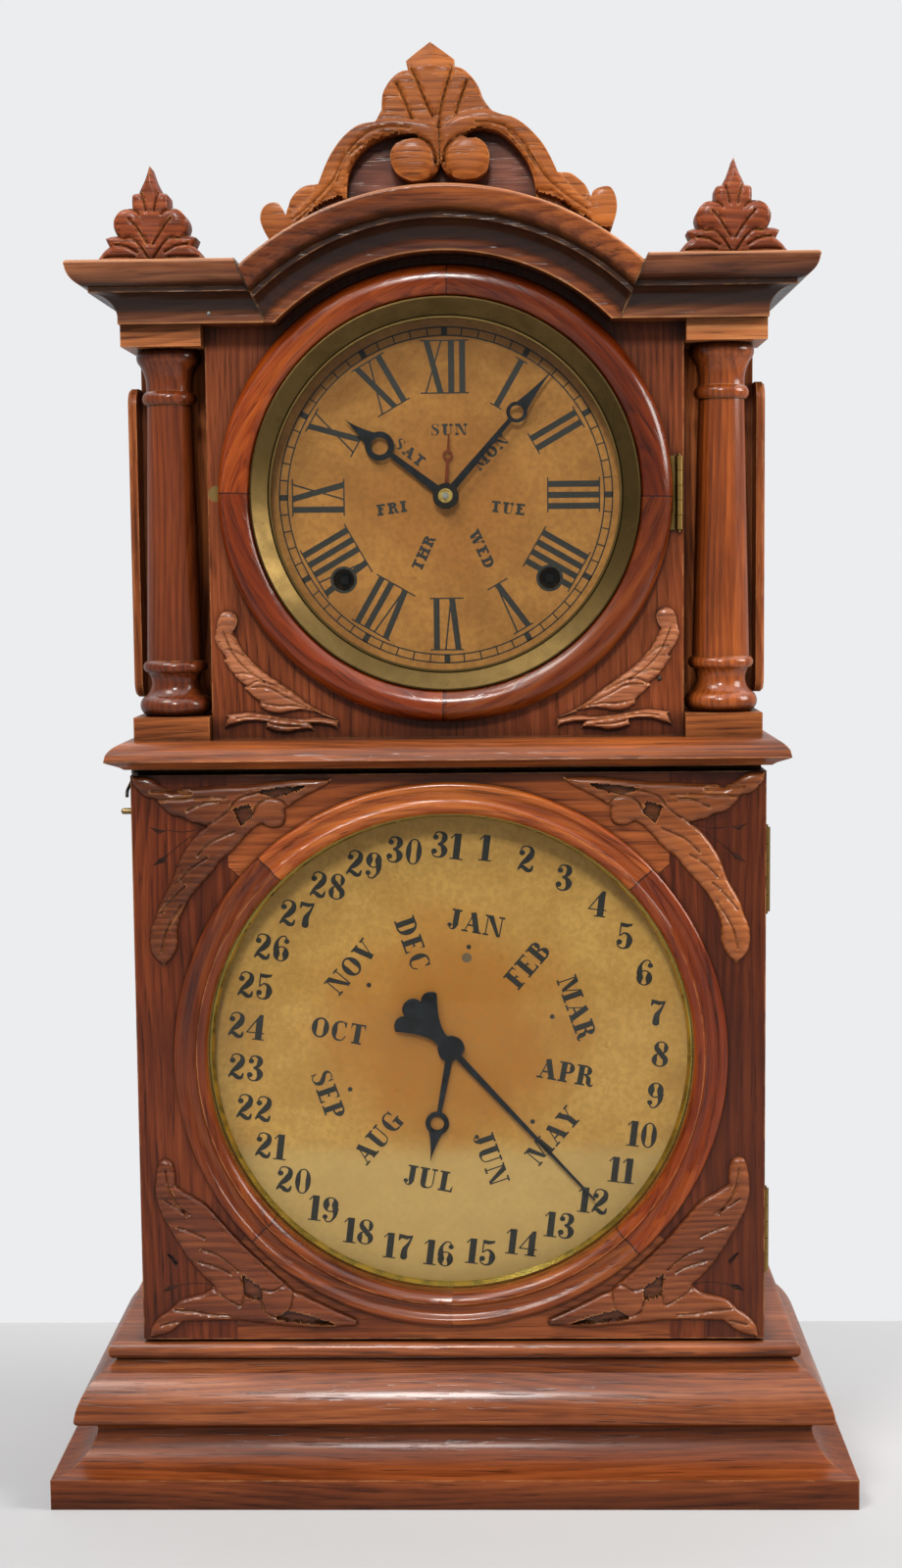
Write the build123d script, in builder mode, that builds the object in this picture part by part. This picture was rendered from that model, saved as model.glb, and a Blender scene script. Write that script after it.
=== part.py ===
"""Double-dial parlour clock with a calendar, as an assembly of separate pieces.

Millimetres, +Z up, +X to the right of someone facing the clock, front towards -Y.
The origin is on the floor, under the middle of the base. Names ending in _D are
depths measured back from the front face of the plinth, because every board, dial
and moulding of the case is set out from that face.
"""
from build123d import *
import math
import os

os.makedirs("parts", exist_ok=True)

# ---------------------------------------------------------------- base
CASE_DEPTH = 165.0
BASE_HALF = 206.0
MOULD_OUT = 36.0
MOULD_BACK_HALF = BASE_HALF - MOULD_OUT
PLINTH_H = 15.5
COVE_TOP = 39.5
OGEE_TOP = 69.0
BASE_H = 78.0
TOP_BOARD_HALF = MOULD_BACK_HALF + 9.6
FRAME_RAIL = 20.0

# ---------------------------------------------------------------- case
WALL = 8.0
LOWER_HALF = 160.7
WAIST_Z = 378.0
WAIST_T = 13.6
WAIST_OUT = 11.4
WAIST_HALF = LOWER_HALF + WAIST_OUT
WAIST_NOSE_D = 14.6
WAIST_SLOPE = 9.7
WAIST_WELL_HALF = 50.0
WAIST_WELL_D0 = 58.0
WAIST_WELL_D1 = CASE_DEPTH - WALL - 9.0
UPPER_HALF = 159.5
BOARD_D = 44.0
BOARD_T = 12.0
BLOCK_W = 39.0
BOARD_HALF = UPPER_HALF - BLOCK_W
CORNER_D = 84.0
ROOF_T = 8.3
PANEL_T = 4.5
PANEL_D = 66.0
PANEL_LEN = 84.0
PANEL_R = 9.0

# ---------------------------------------------------------------- columns and cornice
HEAD_D = 26.0
CORNICE_H = 28.6
CORNICE_OUT = 23.2
ARCH_R = BOARD_HALF - 1.3
MITRE_X = ARCH_R - 31.2
MITRE_TOP_X = MITRE_X + 12.0
COLUMN_X = UPPER_HALF - 19.2
COLUMN_D = 54.6
BLOCK_H = 12.0
ABACUS_H = 10.4
CREST_T = 12.0
CREST_BACK_T = 6.0
CREST_LEAN = 2.2
CREST_X = -1.3
FINIAL_X = UPPER_HALF - 16.9
FINIAL_T = 18.0
LEAF_T = 4.0

# ---------------------------------------------------------------- time dial and its door
DIAL_Z = WAIST_Z + WAIST_T + 122.9
RING_R = BOARD_HALF - 5.7
RING_BORE_R = RING_R - 16.4
DIAL_R = RING_BORE_R - 1.4
DIAL_T = 1.0
BOARD_HOLE_R = DIAL_R - 3.0
RING_D = 32.0
DOOR_GAP = 0.5
BEZEL_IN_R = RING_BORE_R - 10.2
GLASS_T = 2.0
WIND_X = 52.9
WIND_DROP = 42.2
WIND_HOLE_R = 5.6
CATCH_R = 3.9
CATCH_X = -RING_R - 1.6
CATCH_Z = DIAL_Z + 2.1

# ---------------------------------------------------------------- calendar dial and its door
CAL_Z = BASE_H + 150.7
CAL_DOOR_HALF = LOWER_HALF + 0.3
CAL_DOOR_BOTTOM = BASE_H + 1.5
CAL_DOOR_TOP = WAIST_Z - 3.4
CAL_DOOR_D = 29.0
CAL_DOOR_T = 20.0
CAL_RING_R = 141.6
CAL_RING_D = 25.0
CAL_HOLE_R = 133.0
CAL_SIGHT_R = 124.8
CAL_GLASS_D = 41.0
CAL_GLASS_R = 128.2
CAL_DIAL_D = 50.0
CAL_DIAL_R = 131.0
CAL_BOARD_T = 8.0

# ---------------------------------------------------------------- hinges and hook
KNUCKLE_R = 1.9
PIN_R = 0.8
LEAF_PLATE_T = 1.0
TIME_HINGE_X = RING_R + 3.2
TIME_HINGE_D = 41.7
TIME_HINGE_H = 37.0
CAL_HINGE_X = CAL_DOOR_HALF + 2.3
CAL_HINGE_D = 47.0
CAL_HINGE_H = 44.0
CAL_HINGE_ZS = (CAL_DOOR_BOTTOM + 52.5, CAL_DOOR_TOP - 52.6)
HOOK_X = -LOWER_HALF - 2.3
HOOK_D = 60.0
HOOK_Z = WAIST_Z - 4.0
HOOK_WIRE = 1.7
HOOK_REACH = 28.6
HOOK_DROP = 14.0
HOOK_PIN_R = 1.6
HOOK_PIN_OUT = 6.5
HOOK_PIN_DROP = 18.5

# ---------------------------------------------------------------- movement
FIT = 0.05
ARBOR_R = 1.4
SLEEVE_R = 2.6
WEEKDAY_SLEEVE_R = 3.8
DIAL_HOLE_R = 4.3
PLATE_T = 1.6
PLATE_D = BOARD_D + BOARD_T + 14.0
PLATE_GAP = 36.4
PLATE_HALF = 72.0
PLATE_TOP = 66.0
PLATE_BOTTOM = 76.0
LUG_X = BOARD_HALF - 16.5
LUG_HALF = 6.0
LUG_OFFSETS = (-58.0, 50.0)
MOTION_MODULE = 0.75
HOUR_MODULE = 0.72
CANNON_TEETH = 12
MINUTE_TEETH = 36
PINION_TEETH = 10
HOUR_TEETH = 40
MOTION_ANGLE = -30.0
MINUTE_HAND_D = 50.2
HOUR_HAND_D = 52.4
WEEKDAY_HAND_D = 54.4
HAND_T = 0.8
VERGE_Z = DIAL_Z + 55.5
ESCAPE_DROP = 21.0
ESCAPE_R = 15.5
PENDULUM_D = PLATE_D + 50.0
ROD_R = 1.1
BOB_Z = WAIST_Z - 28.0
BOB_R = 19.0
BOB_T = 11.0
GONG_Z = DIAL_Z - 62.5
GONG_D = CASE_DEPTH - WALL - 15.0
HAMMER_X = -38.0
HAMMER_Z = DIAL_Z - 14.5
DATE_HAND_D = 45.6
MONTH_HAND_D = 48.0
DATE_WHEEL_R = 36.0
DATE_TEETH = 31
CAL_PLATE_D = 66.0
LIFT_X = 30.0
LIFT_D = 63.5
LIFT_R = 1.2
LIFT_BOTTOM = CAL_Z + 27.3
LIFT_TOP = DIAL_Z - 44.5
LIFT_LUG_Z = DIAL_Z - 62.5

# hands at rest, in degrees clockwise from the top
MINUTE_ANGLE = 41.2
HOUR_ANGLE = 307.4
WEEKDAY_ANGLE = 3.4
DATE_ANGLE = 137.3
MONTH_ANGLE = 190.8

FRONT_Y = -CASE_DEPTH / 2
WAIST_TOP = WAIST_Z + WAIST_T
UPPER_BACK_D = CASE_DEPTH - WALL
DIAL_D = BOARD_D + BOARD_T
ARCH_TOP_R = ARCH_R + CORNICE_H
HEAD_Z = DIAL_Z + 85.2
CORNICE_Z = HEAD_Z
ROOF_Z = CORNICE_Z + CORNICE_H - ROOF_T
RING_BACK_D = BOARD_D - DOOR_GAP
CENTRE_DISTANCE = MOTION_MODULE * (CANNON_TEETH + MINUTE_TEETH) / 2


# ---------------------------------------------------------------- setting-out helpers
def y_at(depth):
    """Y of a plane that lies a given depth behind the face of the plinth."""
    return FRONT_Y + depth


def face_plane(depth, z=0.0, x=0.0):
    """Upright plane seen from the front; extrude(amount=-t) runs back from it."""
    return Plane(origin=(x, y_at(depth), z), x_dir=(1, 0, 0), z_dir=(0, -1, 0))


def turning_plane(z):
    """Half section of a round piece whose axis runs back: (radius, depth)."""
    return Plane(origin=(0, FRONT_Y, z), x_dir=(1, 0, 0), z_dir=(0, 0, 1))


def dial_axis(z):
    """Axis through the middle of a dial, running back."""
    return Axis((0, 0, z), (0, 1, 0))


def hand_plane(depth, z, degrees):
    """Upright plane whose +Y runs out along a hand, in degrees clockwise from the top."""
    a = math.radians(degrees)
    return Plane(origin=(0, y_at(depth), z), x_dir=(math.cos(a), 0, -math.sin(a)), z_dir=(0, -1, 0))


def save(piece, label):
    """Label a finished piece and write it out."""
    piece.part.label = label
    export_step(piece.part, f"parts/{label}.step")


def board(x0, x1, d0, d1, z0, z1, mode=Mode.ADD):
    """A plain board added to the piece being built, given by its six faces."""
    with BuildSketch(Plane.XY.offset(z0)) as section:
        with Locations(((x0 + x1) / 2, y_at((d0 + d1) / 2))):
            Rectangle(x1 - x0, d1 - d0)
    extrude(section.sketch, amount=z1 - z0, mode=mode)


def round_bar(radius, d0, d1, x, z, mode=Mode.ADD):
    """A round bar that runs back from depth d0 to d1."""
    with BuildSketch(face_plane(d0, z, x)) as section:
        Circle(radius)
    extrude(section.sketch, amount=d0 - d1, mode=mode)


def round_post(radius, z0, z1, x, depth, mode=Mode.ADD):
    """An upright round bar."""
    with BuildSketch(Plane.XY.offset(z0)) as section:
        with Locations((x, y_at(depth))):
            Circle(radius)
    extrude(section.sketch, amount=z1 - z0, mode=mode)


def gear_points(teeth, module, phase=0.0, tip=0.8, thick=0.42):
    """Outline of a toothed wheel; the middle of one tooth points at phase degrees."""
    pitch = 360.0 / teeth
    radii = (-tip - 0.35, 0.0, tip, tip, 0.0, -tip - 0.35)
    shares = (-thick * 0.72, -thick * 0.5, -thick * 0.22, thick * 0.22, thick * 0.5, thick * 0.72)
    points = []
    for n in range(teeth):
        for height, share in zip(radii, shares):
            radius = module * (teeth / 2 + height)
            a = math.radians(phase + pitch * (n + share))
            points.append((radius * math.cos(a), radius * math.sin(a)))
    return points


def toothed_disc(teeth, module, depth, thick, x, z, phase, bore=0.0):
    """A toothed wheel or pinion added to the piece being built."""
    with BuildSketch(face_plane(depth, z, x)) as wheel:
        with BuildLine():
            Polyline(*gear_points(teeth, module, phase), close=True)
        make_face()
        if bore:
            Circle(bore, mode=Mode.SUBTRACT)
    extrude(wheel.sketch, amount=-thick)


def pointed_disc(teeth, tip_r, root_r, depth, thick, x, z, lean=0.0, bore=0.0):
    """A ratchet, star or escape wheel: pointed teeth, leaning by a share of their pitch."""
    pitch = 2 * math.pi / teeth
    points = []
    for n in range(teeth):
        points.append((root_r * math.cos(n * pitch), root_r * math.sin(n * pitch)))
        tip_angle = (n + 0.5 + lean) * pitch
        points.append((tip_r * math.cos(tip_angle), tip_r * math.sin(tip_angle)))
    with BuildSketch(face_plane(depth, z, x)) as wheel:
        with BuildLine():
            Polyline(*points, close=True)
        make_face()
        if bore:
            Circle(bore, mode=Mode.SUBTRACT)
    extrude(wheel.sketch, amount=-thick)


def coil_strip(inner, pitch, half_turns, width, depth, run, x, z):
    """A flat coil of strip, drawn as half circles whose radius grows by half a pitch."""
    radius = inner
    start = inner
    side = 1
    with BuildSketch(face_plane(depth, z, x)) as coil:
        with BuildLine():
            for _ in range(half_turns):
                end = start - side * 2 * radius
                ThreePointArc((start, 0), ((start + end) / 2, side * radius), (end, 0))
                start = end
                side = -side
                radius += pitch / 2
        trace(line_width=width)
    extrude(coil.sketch, amount=-run)


def u_path(half, front_d, back_d=CASE_DEPTH):
    """Run of a moulding: along the left side, across the front and back along the right."""
    return [
        (-half, y_at(back_d), 0),
        (-half, y_at(front_d), 0),
        (half, y_at(front_d), 0),
        (half, y_at(back_d), 0),
    ]


def left_section(half, depth=CASE_DEPTH):
    """Plane across the left run of a moulding: local x is outward, local y is height."""
    return Plane(origin=(-half, y_at(depth), 0), x_dir=(-1, 0, 0), z_dir=(0, 1, 0))


# ================================================================ base
mould_d = BASE_HALF - MOULD_BACK_HALF

# Softwood frame that the base mouldings are glued to
with BuildPart() as base_frame:
    board(-MOULD_BACK_HALF, MOULD_BACK_HALF, mould_d, CASE_DEPTH, 0, OGEE_TOP)
    board(-MOULD_BACK_HALF + FRAME_RAIL, MOULD_BACK_HALF - FRAME_RAIL, mould_d + FRAME_RAIL,
          CASE_DEPTH - FRAME_RAIL, 0, OGEE_TOP, mode=Mode.SUBTRACT)
save(base_frame, "base_frame")

# Plinth with a cove worked on its top edge, mitred at the two front corners
with BuildPart() as base_plinth:
    with BuildLine() as plinth_run:
        Polyline(*u_path(MOULD_BACK_HALF, mould_d))
    with BuildSketch(left_section(MOULD_BACK_HALF)):
        with BuildLine():
            face = mould_d
            foot = Line((0, 0), (face, 0))
            edge = Line(foot @ 1, (face, PLINTH_H))
            cove = ThreePointArc(edge @ 1, (face - 15.0, PLINTH_H + 6.5), (face - 21.2, COVE_TOP - 5.0))
            lip = ThreePointArc(cove @ 1, (face - 19.6, COVE_TOP - 1.7), (face - 16.4, COVE_TOP))
            Polyline(lip @ 1, (0, COVE_TOP), (0, 0))
        make_face()
    sweep(path=plinth_run.line, transition=Transition.RIGHT)
save(base_plinth, "base_plinth")

# Ogee member above the plinth
with BuildPart() as base_ogee:
    with BuildLine() as ogee_run:
        Polyline(*u_path(MOULD_BACK_HALF, mould_d))
    with BuildSketch(left_section(MOULD_BACK_HALF)):
        with BuildLine():
            bed = Line((0, COVE_TOP), (23.0, COVE_TOP))
            toe = ThreePointArc(bed @ 1, (24.9, COVE_TOP + 1.0), (25.4, COVE_TOP + 3.2))
            belly = ThreePointArc(toe @ 1, (21.8, COVE_TOP + 14.2), (13.2, COVE_TOP + 24.0))
            neck = ThreePointArc(belly @ 1, (8.0, COVE_TOP + 27.0), (5.4, OGEE_TOP))
            Polyline(neck @ 1, (0, OGEE_TOP), (0, COVE_TOP))
        make_face()
    sweep(path=ogee_run.line, transition=Transition.RIGHT)
save(base_ogee, "base_ogee")

# Top board of the base with a bullnose on its front and sides
with BuildPart() as base_top_board:
    board(-TOP_BOARD_HALF, TOP_BOARD_HALF, BASE_HALF - TOP_BOARD_HALF, CASE_DEPTH, OGEE_TOP, BASE_H)
    rim = base_top_board.faces().filter_by(Axis.Z).edges().filter_by_position(
        Axis.Y, FRONT_Y, y_at(CASE_DEPTH) - 1)
    fillet(rim, (BASE_H - OGEE_TOP) * 0.47)
save(base_top_board, "base_top_board")

# ================================================================ lower case
LOWER_SIDE_D = CAL_DOOR_D + CAL_DOOR_T + 0.4

with BuildPart() as lower_sides:
    for side in (-1, 1):
        inner = side * (LOWER_HALF - WALL)
        outer = side * LOWER_HALF
        board(min(inner, outer), max(inner, outer), LOWER_SIDE_D, UPPER_BACK_D, BASE_H, WAIST_Z)
    for hinge_z in CAL_HINGE_ZS:
        board(LOWER_HALF - WALL - 1, LOWER_HALF + 1, LOWER_SIDE_D - 1, LOWER_SIDE_D + LEAF_PLATE_T,
              hinge_z - CAL_HINGE_H / 2, hinge_z + CAL_HINGE_H / 2, mode=Mode.SUBTRACT)
    with BuildSketch(Plane(origin=(-LOWER_HALF, y_at(HOOK_D), HOOK_Z), x_dir=(0, 1, 0), z_dir=(-1, 0, 0))):
        Circle(1.0 + FIT)
    extrude(amount=-5.0, mode=Mode.SUBTRACT)
save(lower_sides, "lower_sides")

with BuildPart() as lower_back_board:
    board(-LOWER_HALF, LOWER_HALF, UPPER_BACK_D, CASE_DEPTH, BASE_H, WAIST_Z)
save(lower_back_board, "lower_back_board")

# Applied panels with rounded front and back corners, two on each storey
def side_panel(sign, wall_half, z0, z1):
    plane = Plane(origin=(sign * wall_half, y_at(PANEL_D + PANEL_LEN / 2), (z0 + z1) / 2),
                  x_dir=(0, 1, 0), z_dir=(sign, 0, 0))
    with BuildSketch(plane) as outline:
        RectangleRounded(PANEL_LEN, z1 - z0, PANEL_R)
    extrude(outline.sketch, amount=PANEL_T)


with BuildPart() as side_panels:
    for side in (-1, 1):
        side_panel(side, LOWER_HALF, BASE_H + 50.0, WAIST_Z - 30.0)
        side_panel(side, UPPER_HALF, WAIST_TOP + 20.4, ROOF_Z - 48.0)
    soft = side_panels.faces().filter_by(Axis.X)
    outer_faces = [f for f in soft if min(abs(abs(f.center().X) - LOWER_HALF - PANEL_T),
                                          abs(abs(f.center().X) - UPPER_HALF - PANEL_T)) < 0.1]
    chamfer([e for f in outer_faces for e in f.edges()], 1.2)
save(side_panels, "side_panels")

# Waist board: thumbnail edge on three sides, with a well for the pendulum and lifting rod
with BuildPart() as waist_board:
    nose = WAIST_HALF - LOWER_HALF
    waist_core_d = WAIST_NOSE_D + nose
    with BuildLine() as waist_run:
        Polyline(*u_path(LOWER_HALF, waist_core_d))
    with BuildSketch(left_section(LOWER_HALF)):
        with BuildLine():
            soffit = Line((0, WAIST_Z), (2.6, WAIST_Z))
            under = Spline(soffit @ 1, (5.6, WAIST_Z + 1.9), (9.4, WAIST_Z + 3.4), (nose, WAIST_Z + 4.4))
            lip = Line(under @ 1, (nose - 0.9, WAIST_Z + 8.0))
            ovolo = ThreePointArc(lip @ 1, (nose - 4.4, WAIST_Z + 11.6), (nose - WAIST_SLOPE, WAIST_TOP))
            Polyline(ovolo @ 1, (0, WAIST_TOP), (0, WAIST_Z))
        make_face()
    sweep(path=waist_run.line, transition=Transition.RIGHT)
    board(-LOWER_HALF, LOWER_HALF, waist_core_d, CASE_DEPTH, WAIST_Z, WAIST_TOP)
    board(-WAIST_WELL_HALF, WAIST_WELL_HALF, WAIST_WELL_D0, WAIST_WELL_D1,
          WAIST_Z, WAIST_TOP, mode=Mode.SUBTRACT)
save(waist_board, "waist_board")

# ================================================================ upper case
# Each side is a wall with a notched front corner, glued up so that a column can stand in it
with BuildPart() as upper_sides:
    for side in (-1, 1):
        wall = sorted((side * (UPPER_HALF - WALL), side * UPPER_HALF))
        ledge = sorted((side * (BOARD_HALF - WALL), side * (UPPER_HALF - WALL)))
        cheek = sorted((side * (BOARD_HALF - WALL), side * BOARD_HALF))
        board(wall[0], wall[1], CORNER_D, UPPER_BACK_D, WAIST_TOP, ROOF_Z)
        board(ledge[0], ledge[1], CORNER_D, CORNER_D + WALL, WAIST_TOP, ROOF_Z)
        board(cheek[0], cheek[1], DIAL_D, CORNER_D, WAIST_TOP, ROOF_Z)
save(upper_sides, "upper_sides")

with BuildPart() as upper_back_board:
    board(-UPPER_HALF, UPPER_HALF, UPPER_BACK_D, CASE_DEPTH, WAIST_TOP, ROOF_Z)
save(upper_back_board, "upper_back_board")

# Dial board: follows the arch at its top and carries two cleats for the movement
CLEAT_W = 12.0
with BuildPart() as upper_front_board:
    with BuildSketch(face_plane(BOARD_D)):
        with Locations((0, (WAIST_TOP + ROOF_Z) / 2)):
            Rectangle(2 * BOARD_HALF, ROOF_Z - WAIST_TOP)
        with Locations((0, DIAL_Z)):
            Circle(ARCH_TOP_R - 4.0)
        with Locations((0, (WAIST_TOP + ROOF_Z + 60) / 2)):
            Rectangle(2 * BOARD_HALF, ROOF_Z + 60 - WAIST_TOP, mode=Mode.INTERSECT)
        with Locations((0, DIAL_Z)):
            Circle(BOARD_HOLE_R, mode=Mode.SUBTRACT)
    extrude(amount=-BOARD_T)
    for side in (-1, 1):
        cleat = sorted((side * (LUG_X - CLEAT_W / 2), side * (LUG_X + CLEAT_W / 2)))
        board(cleat[0], cleat[1], DIAL_D, PLATE_D, DIAL_Z + LUG_OFFSETS[0] - 12, DIAL_Z + LUG_OFFSETS[1] + 12)
        for offset_z in LUG_OFFSETS:
            round_bar(1.5 + FIT, PLATE_D - 9, PLATE_D, side * LUG_X, DIAL_Z + offset_z, mode=Mode.SUBTRACT)
    board(TIME_HINGE_X - 14, TIME_HINGE_X + 1.9, BOARD_D - 1, BOARD_D + LEAF_PLATE_T,
          DIAL_Z - TIME_HINGE_H / 2, DIAL_Z + TIME_HINGE_H / 2, mode=Mode.SUBTRACT)
    round_bar(CATCH_R + FIT, BOARD_D - 1, BOARD_D + 0.9, CATCH_X, CATCH_Z, mode=Mode.SUBTRACT)
save(upper_front_board, "upper_front_board")

with BuildPart() as roof_board:
    board(-UPPER_HALF, UPPER_HALF, BOARD_D, CASE_DEPTH, ROOF_Z, ROOF_Z + ROOF_T)
    board(-BOARD_HALF, BOARD_HALF, BOARD_D, DIAL_D, ROOF_Z, ROOF_Z + ROOF_T, mode=Mode.SUBTRACT)
save(roof_board, "roof_board")

# ================================================================ columns
block_d0 = COLUMN_D - BLOCK_W / 2 - 1.0
block_x0 = BOARD_HALF + 0.3

with BuildPart() as column_plinths:
    for side in (-1, 1):
        span = sorted((side * block_x0, side * UPPER_HALF))
        board(span[0], span[1], block_d0, block_d0 + BLOCK_W + 2, WAIST_TOP, WAIST_TOP + BLOCK_H)
save(column_plinths, "column_plinths")

with BuildPart() as abacus_blocks:
    for side in (-1, 1):
        span = sorted((side * block_x0, side * (UPPER_HALF + 1.5)))
        board(span[0], span[1], block_d0 - 3, block_d0 + BLOCK_W + 4, HEAD_Z - ABACUS_H, HEAD_Z)
save(abacus_blocks, "abacus_blocks")


def turned_column(x):
    """A column turned from one billet: torus and scotia base, tapered shaft, belled cap."""
    bottom = WAIST_TOP + BLOCK_H
    top = HEAD_Z - ABACUS_H
    section = Plane(origin=(x, y_at(COLUMN_D), 0), x_dir=(1, 0, 0), z_dir=(0, -1, 0))
    with BuildPart() as column:
        with BuildSketch(section):
            with BuildLine():
                Polyline((0, top), (0, bottom), (15.2, bottom))
                torus = ThreePointArc((15.2, bottom), (18.6, bottom + 5.2), (15.4, bottom + 10.4))
                scotia = ThreePointArc(torus @ 1, (12.6, bottom + 16.6), (14.4, bottom + 22.0))
                ring = ThreePointArc(scotia @ 1, (16.6, bottom + 25.0), (14.8, bottom + 28.2))
                shaft = Line((14.6, bottom + 28.2), (11.7, top - 27.6))
                Line(ring @ 1, shaft @ 0)
                step = Line(shaft @ 1, (12.6, top - 27.6))
                collar = ThreePointArc(step @ 1, (14.0, top - 24.4), (12.4, top - 21.2))
                bell = ThreePointArc((11.9, top - 20.8), (12.5, top - 13.0), (15.0, top - 7.6))
                Line(collar @ 1, bell @ 0)
                cap = ThreePointArc(bell @ 1, (16.5, top - 4.0), (15.2, top))
                Line(cap @ 1, (0, top))
            make_face()
        revolve(axis=Axis((x, y_at(COLUMN_D), 0), (0, 0, 1)))
    return column


column_left = turned_column(-COLUMN_X)
save(column_left, "column_left")
column_right = turned_column(COLUMN_X)
save(column_right, "column_right")

# ================================================================ head and cornice
# Head board over the columns, cut out below to the curve of the arch
with BuildPart() as head_board:
    head_t = BOARD_D - HEAD_D
    with BuildSketch(face_plane(HEAD_D)):
        with Locations((0, (HEAD_Z + ROOF_Z + ROOF_T) / 2)):
            Rectangle(2 * UPPER_HALF, ROOF_Z + ROOF_T - HEAD_Z)
        with Locations((0, DIAL_Z)):
            Circle(ARCH_TOP_R - 1.0)
        with Locations((0, HEAD_Z + 100)):
            Rectangle(2 * UPPER_HALF, 200, mode=Mode.INTERSECT)
        with Locations((0, DIAL_Z)):
            Circle(ARCH_R, mode=Mode.SUBTRACT)
    extrude(amount=-head_t)
save(head_board, "head_board")


def cornice_outline(z0):
    """Cornice section: fillet, cove, fillet and ovolo. Local x is outward, y is height."""
    with BuildLine() as outline:
        foot = Polyline((0, z0), (1.5, z0), (1.5, z0 + 4.0))
        cove = ThreePointArc(foot @ 1, (4.7, z0 + 10.6), (CORNICE_OUT - 10.6, z0 + 14.0))
        fillet_line = Polyline(cove @ 1, (CORNICE_OUT - 9.6, z0 + 14.0), (CORNICE_OUT - 9.6, z0 + 16.4))
        ovolo = ThreePointArc(fillet_line @ 1, (CORNICE_OUT - 2.8, z0 + 19.8), (CORNICE_OUT, z0 + 26.0))
        crown = ThreePointArc(ovolo @ 1, (CORNICE_OUT - 0.4, z0 + 28.4), (CORNICE_OUT - 2.2, z0 + CORNICE_H))
        Polyline(crown @ 1, (0, z0 + CORNICE_H), (0, z0))
    make_face(outline.edges())


mitre_run = MITRE_TOP_X - MITRE_X
mitre_len = math.hypot(mitre_run, CORNICE_H)


def mitre_plane(sign):
    """Plane of the joint between the arch and a straight cornice, facing outward."""
    return Plane(origin=(sign * MITRE_X, 0, CORNICE_Z), x_dir=(0, 1, 0),
                 z_dir=(sign * CORNICE_H / mitre_len, 0, -mitre_run / mitre_len))


def straight_cornice(sign):
    """One front length and its return, mitred round the corner of the case."""
    with BuildPart() as cornice:
        with BuildLine() as run:
            Polyline((sign * UPPER_HALF, y_at(CASE_DEPTH), 0), (sign * UPPER_HALF, y_at(HEAD_D), 0),
                     (sign * 50.0, y_at(HEAD_D), 0))
        with BuildSketch(Plane(origin=(sign * UPPER_HALF, y_at(CASE_DEPTH), 0),
                               x_dir=(sign, 0, 0), z_dir=(0, -sign, 0))):
            cornice_outline(CORNICE_Z)
        sweep(path=run.line, transition=Transition.RIGHT)
        split(bisect_by=mitre_plane(sign), keep=Keep.TOP)
    return cornice


cornice_left = straight_cornice(-1)
save(cornice_left, "cornice_left")
cornice_right = straight_cornice(1)
save(cornice_right, "cornice_right")

# The same section turned round the dial and cut to the two mitres
with BuildPart() as cornice_arch:
    with BuildSketch(Plane(origin=(0, y_at(HEAD_D), DIAL_Z), x_dir=(0, -1, 0), z_dir=(-1, 0, 0))):
        cornice_outline(ARCH_R)
    revolve(axis=dial_axis(DIAL_Z))
    split(bisect_by=mitre_plane(1), keep=Keep.BOTTOM)
    split(bisect_by=mitre_plane(-1), keep=Keep.BOTTOM)
    split(bisect_by=Plane.XY.offset(CORNICE_Z), keep=Keep.TOP)
save(cornice_arch, "cornice_arch")

# ================================================================ crest, finials and carvings
CREST_FOOT_Z = DIAL_Z + 135.5
lean = math.radians(CREST_LEAN)


def crest_plane(depth):
    """Plane of the crest, which stands a little out of plumb."""
    return Plane(origin=(CREST_X, y_at(depth), CREST_FOOT_Z),
                 x_dir=(math.cos(lean), 0, math.sin(lean)), z_dir=(0, -1, 0))


def crest_half(sign):
    """One half of the crest outline, from its peak round the lobes to the ball end."""
    with BuildLine() as outline:
        Polyline((0, 0), (0, 85.0), (sign * 11.8, 76.3), (sign * 11.4, 72.4))
        shoulder = Spline((sign * 11.4, 72.4), (sign * 20.0, 67.6), (sign * 24.6, 59.0), (sign * 28.5, 49.5))
        arm = Spline(shoulder @ 1, (sign * 38.5, 46.8), (sign * 48.5, 39.4), (sign * 55.6, 28.0),
                     (sign * 58.9, 19.0))
        lobe = Spline(arm @ 1, (sign * 64.5, 20.0), (sign * 71.0, 15.0), (sign * 75.6, 6.4))
        Polyline(lobe @ 1, (sign * 80.0, -20.0), (0, -20.0), (0, 0))
    make_face(outline.edges())


def arch_bed(radius):
    """Takes away what lies below the top of the arched cornice."""
    round_bar(radius, 0, CASE_DEPTH, 0, DIAL_Z, mode=Mode.SUBTRACT)


BALL_X = 82.0
BALL_Y = 3.5
BALL_R = 7.0
VOLUTE_X = 15.1
VOLUTE_Y = 28.6
VOLUTE_R = 11.2

with BuildPart() as crest:
    with BuildSketch(crest_plane(HEAD_D)):
        for side in (-1, 1):
            crest_half(side)
            with Locations((side * BALL_X, BALL_Y)):
                Circle(BALL_R)
            with BuildLine():
                window = ThreePointArc((side * 20.0, 41.0), (side * 39.5, 35.6), (side * 48.0, 14.0))
                Polyline(window @ 1, (side * 48.0, -30.0), (0, -30.0), (0, 19.0),
                         (side * VOLUTE_X, VOLUTE_Y), window @ 0)
            make_face(mode=Mode.SUBTRACT)
    extrude(amount=-CREST_T)
    with BuildSketch(crest_plane(HEAD_D - 1.5)):
        for side in (-1, 1):
            with Locations((side * VOLUTE_X, VOLUTE_Y)):
                Circle(VOLUTE_R)
    extrude(amount=-(CREST_T + 1.5))
    arch_bed(ARCH_TOP_R)
save(crest, "crest")

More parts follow.
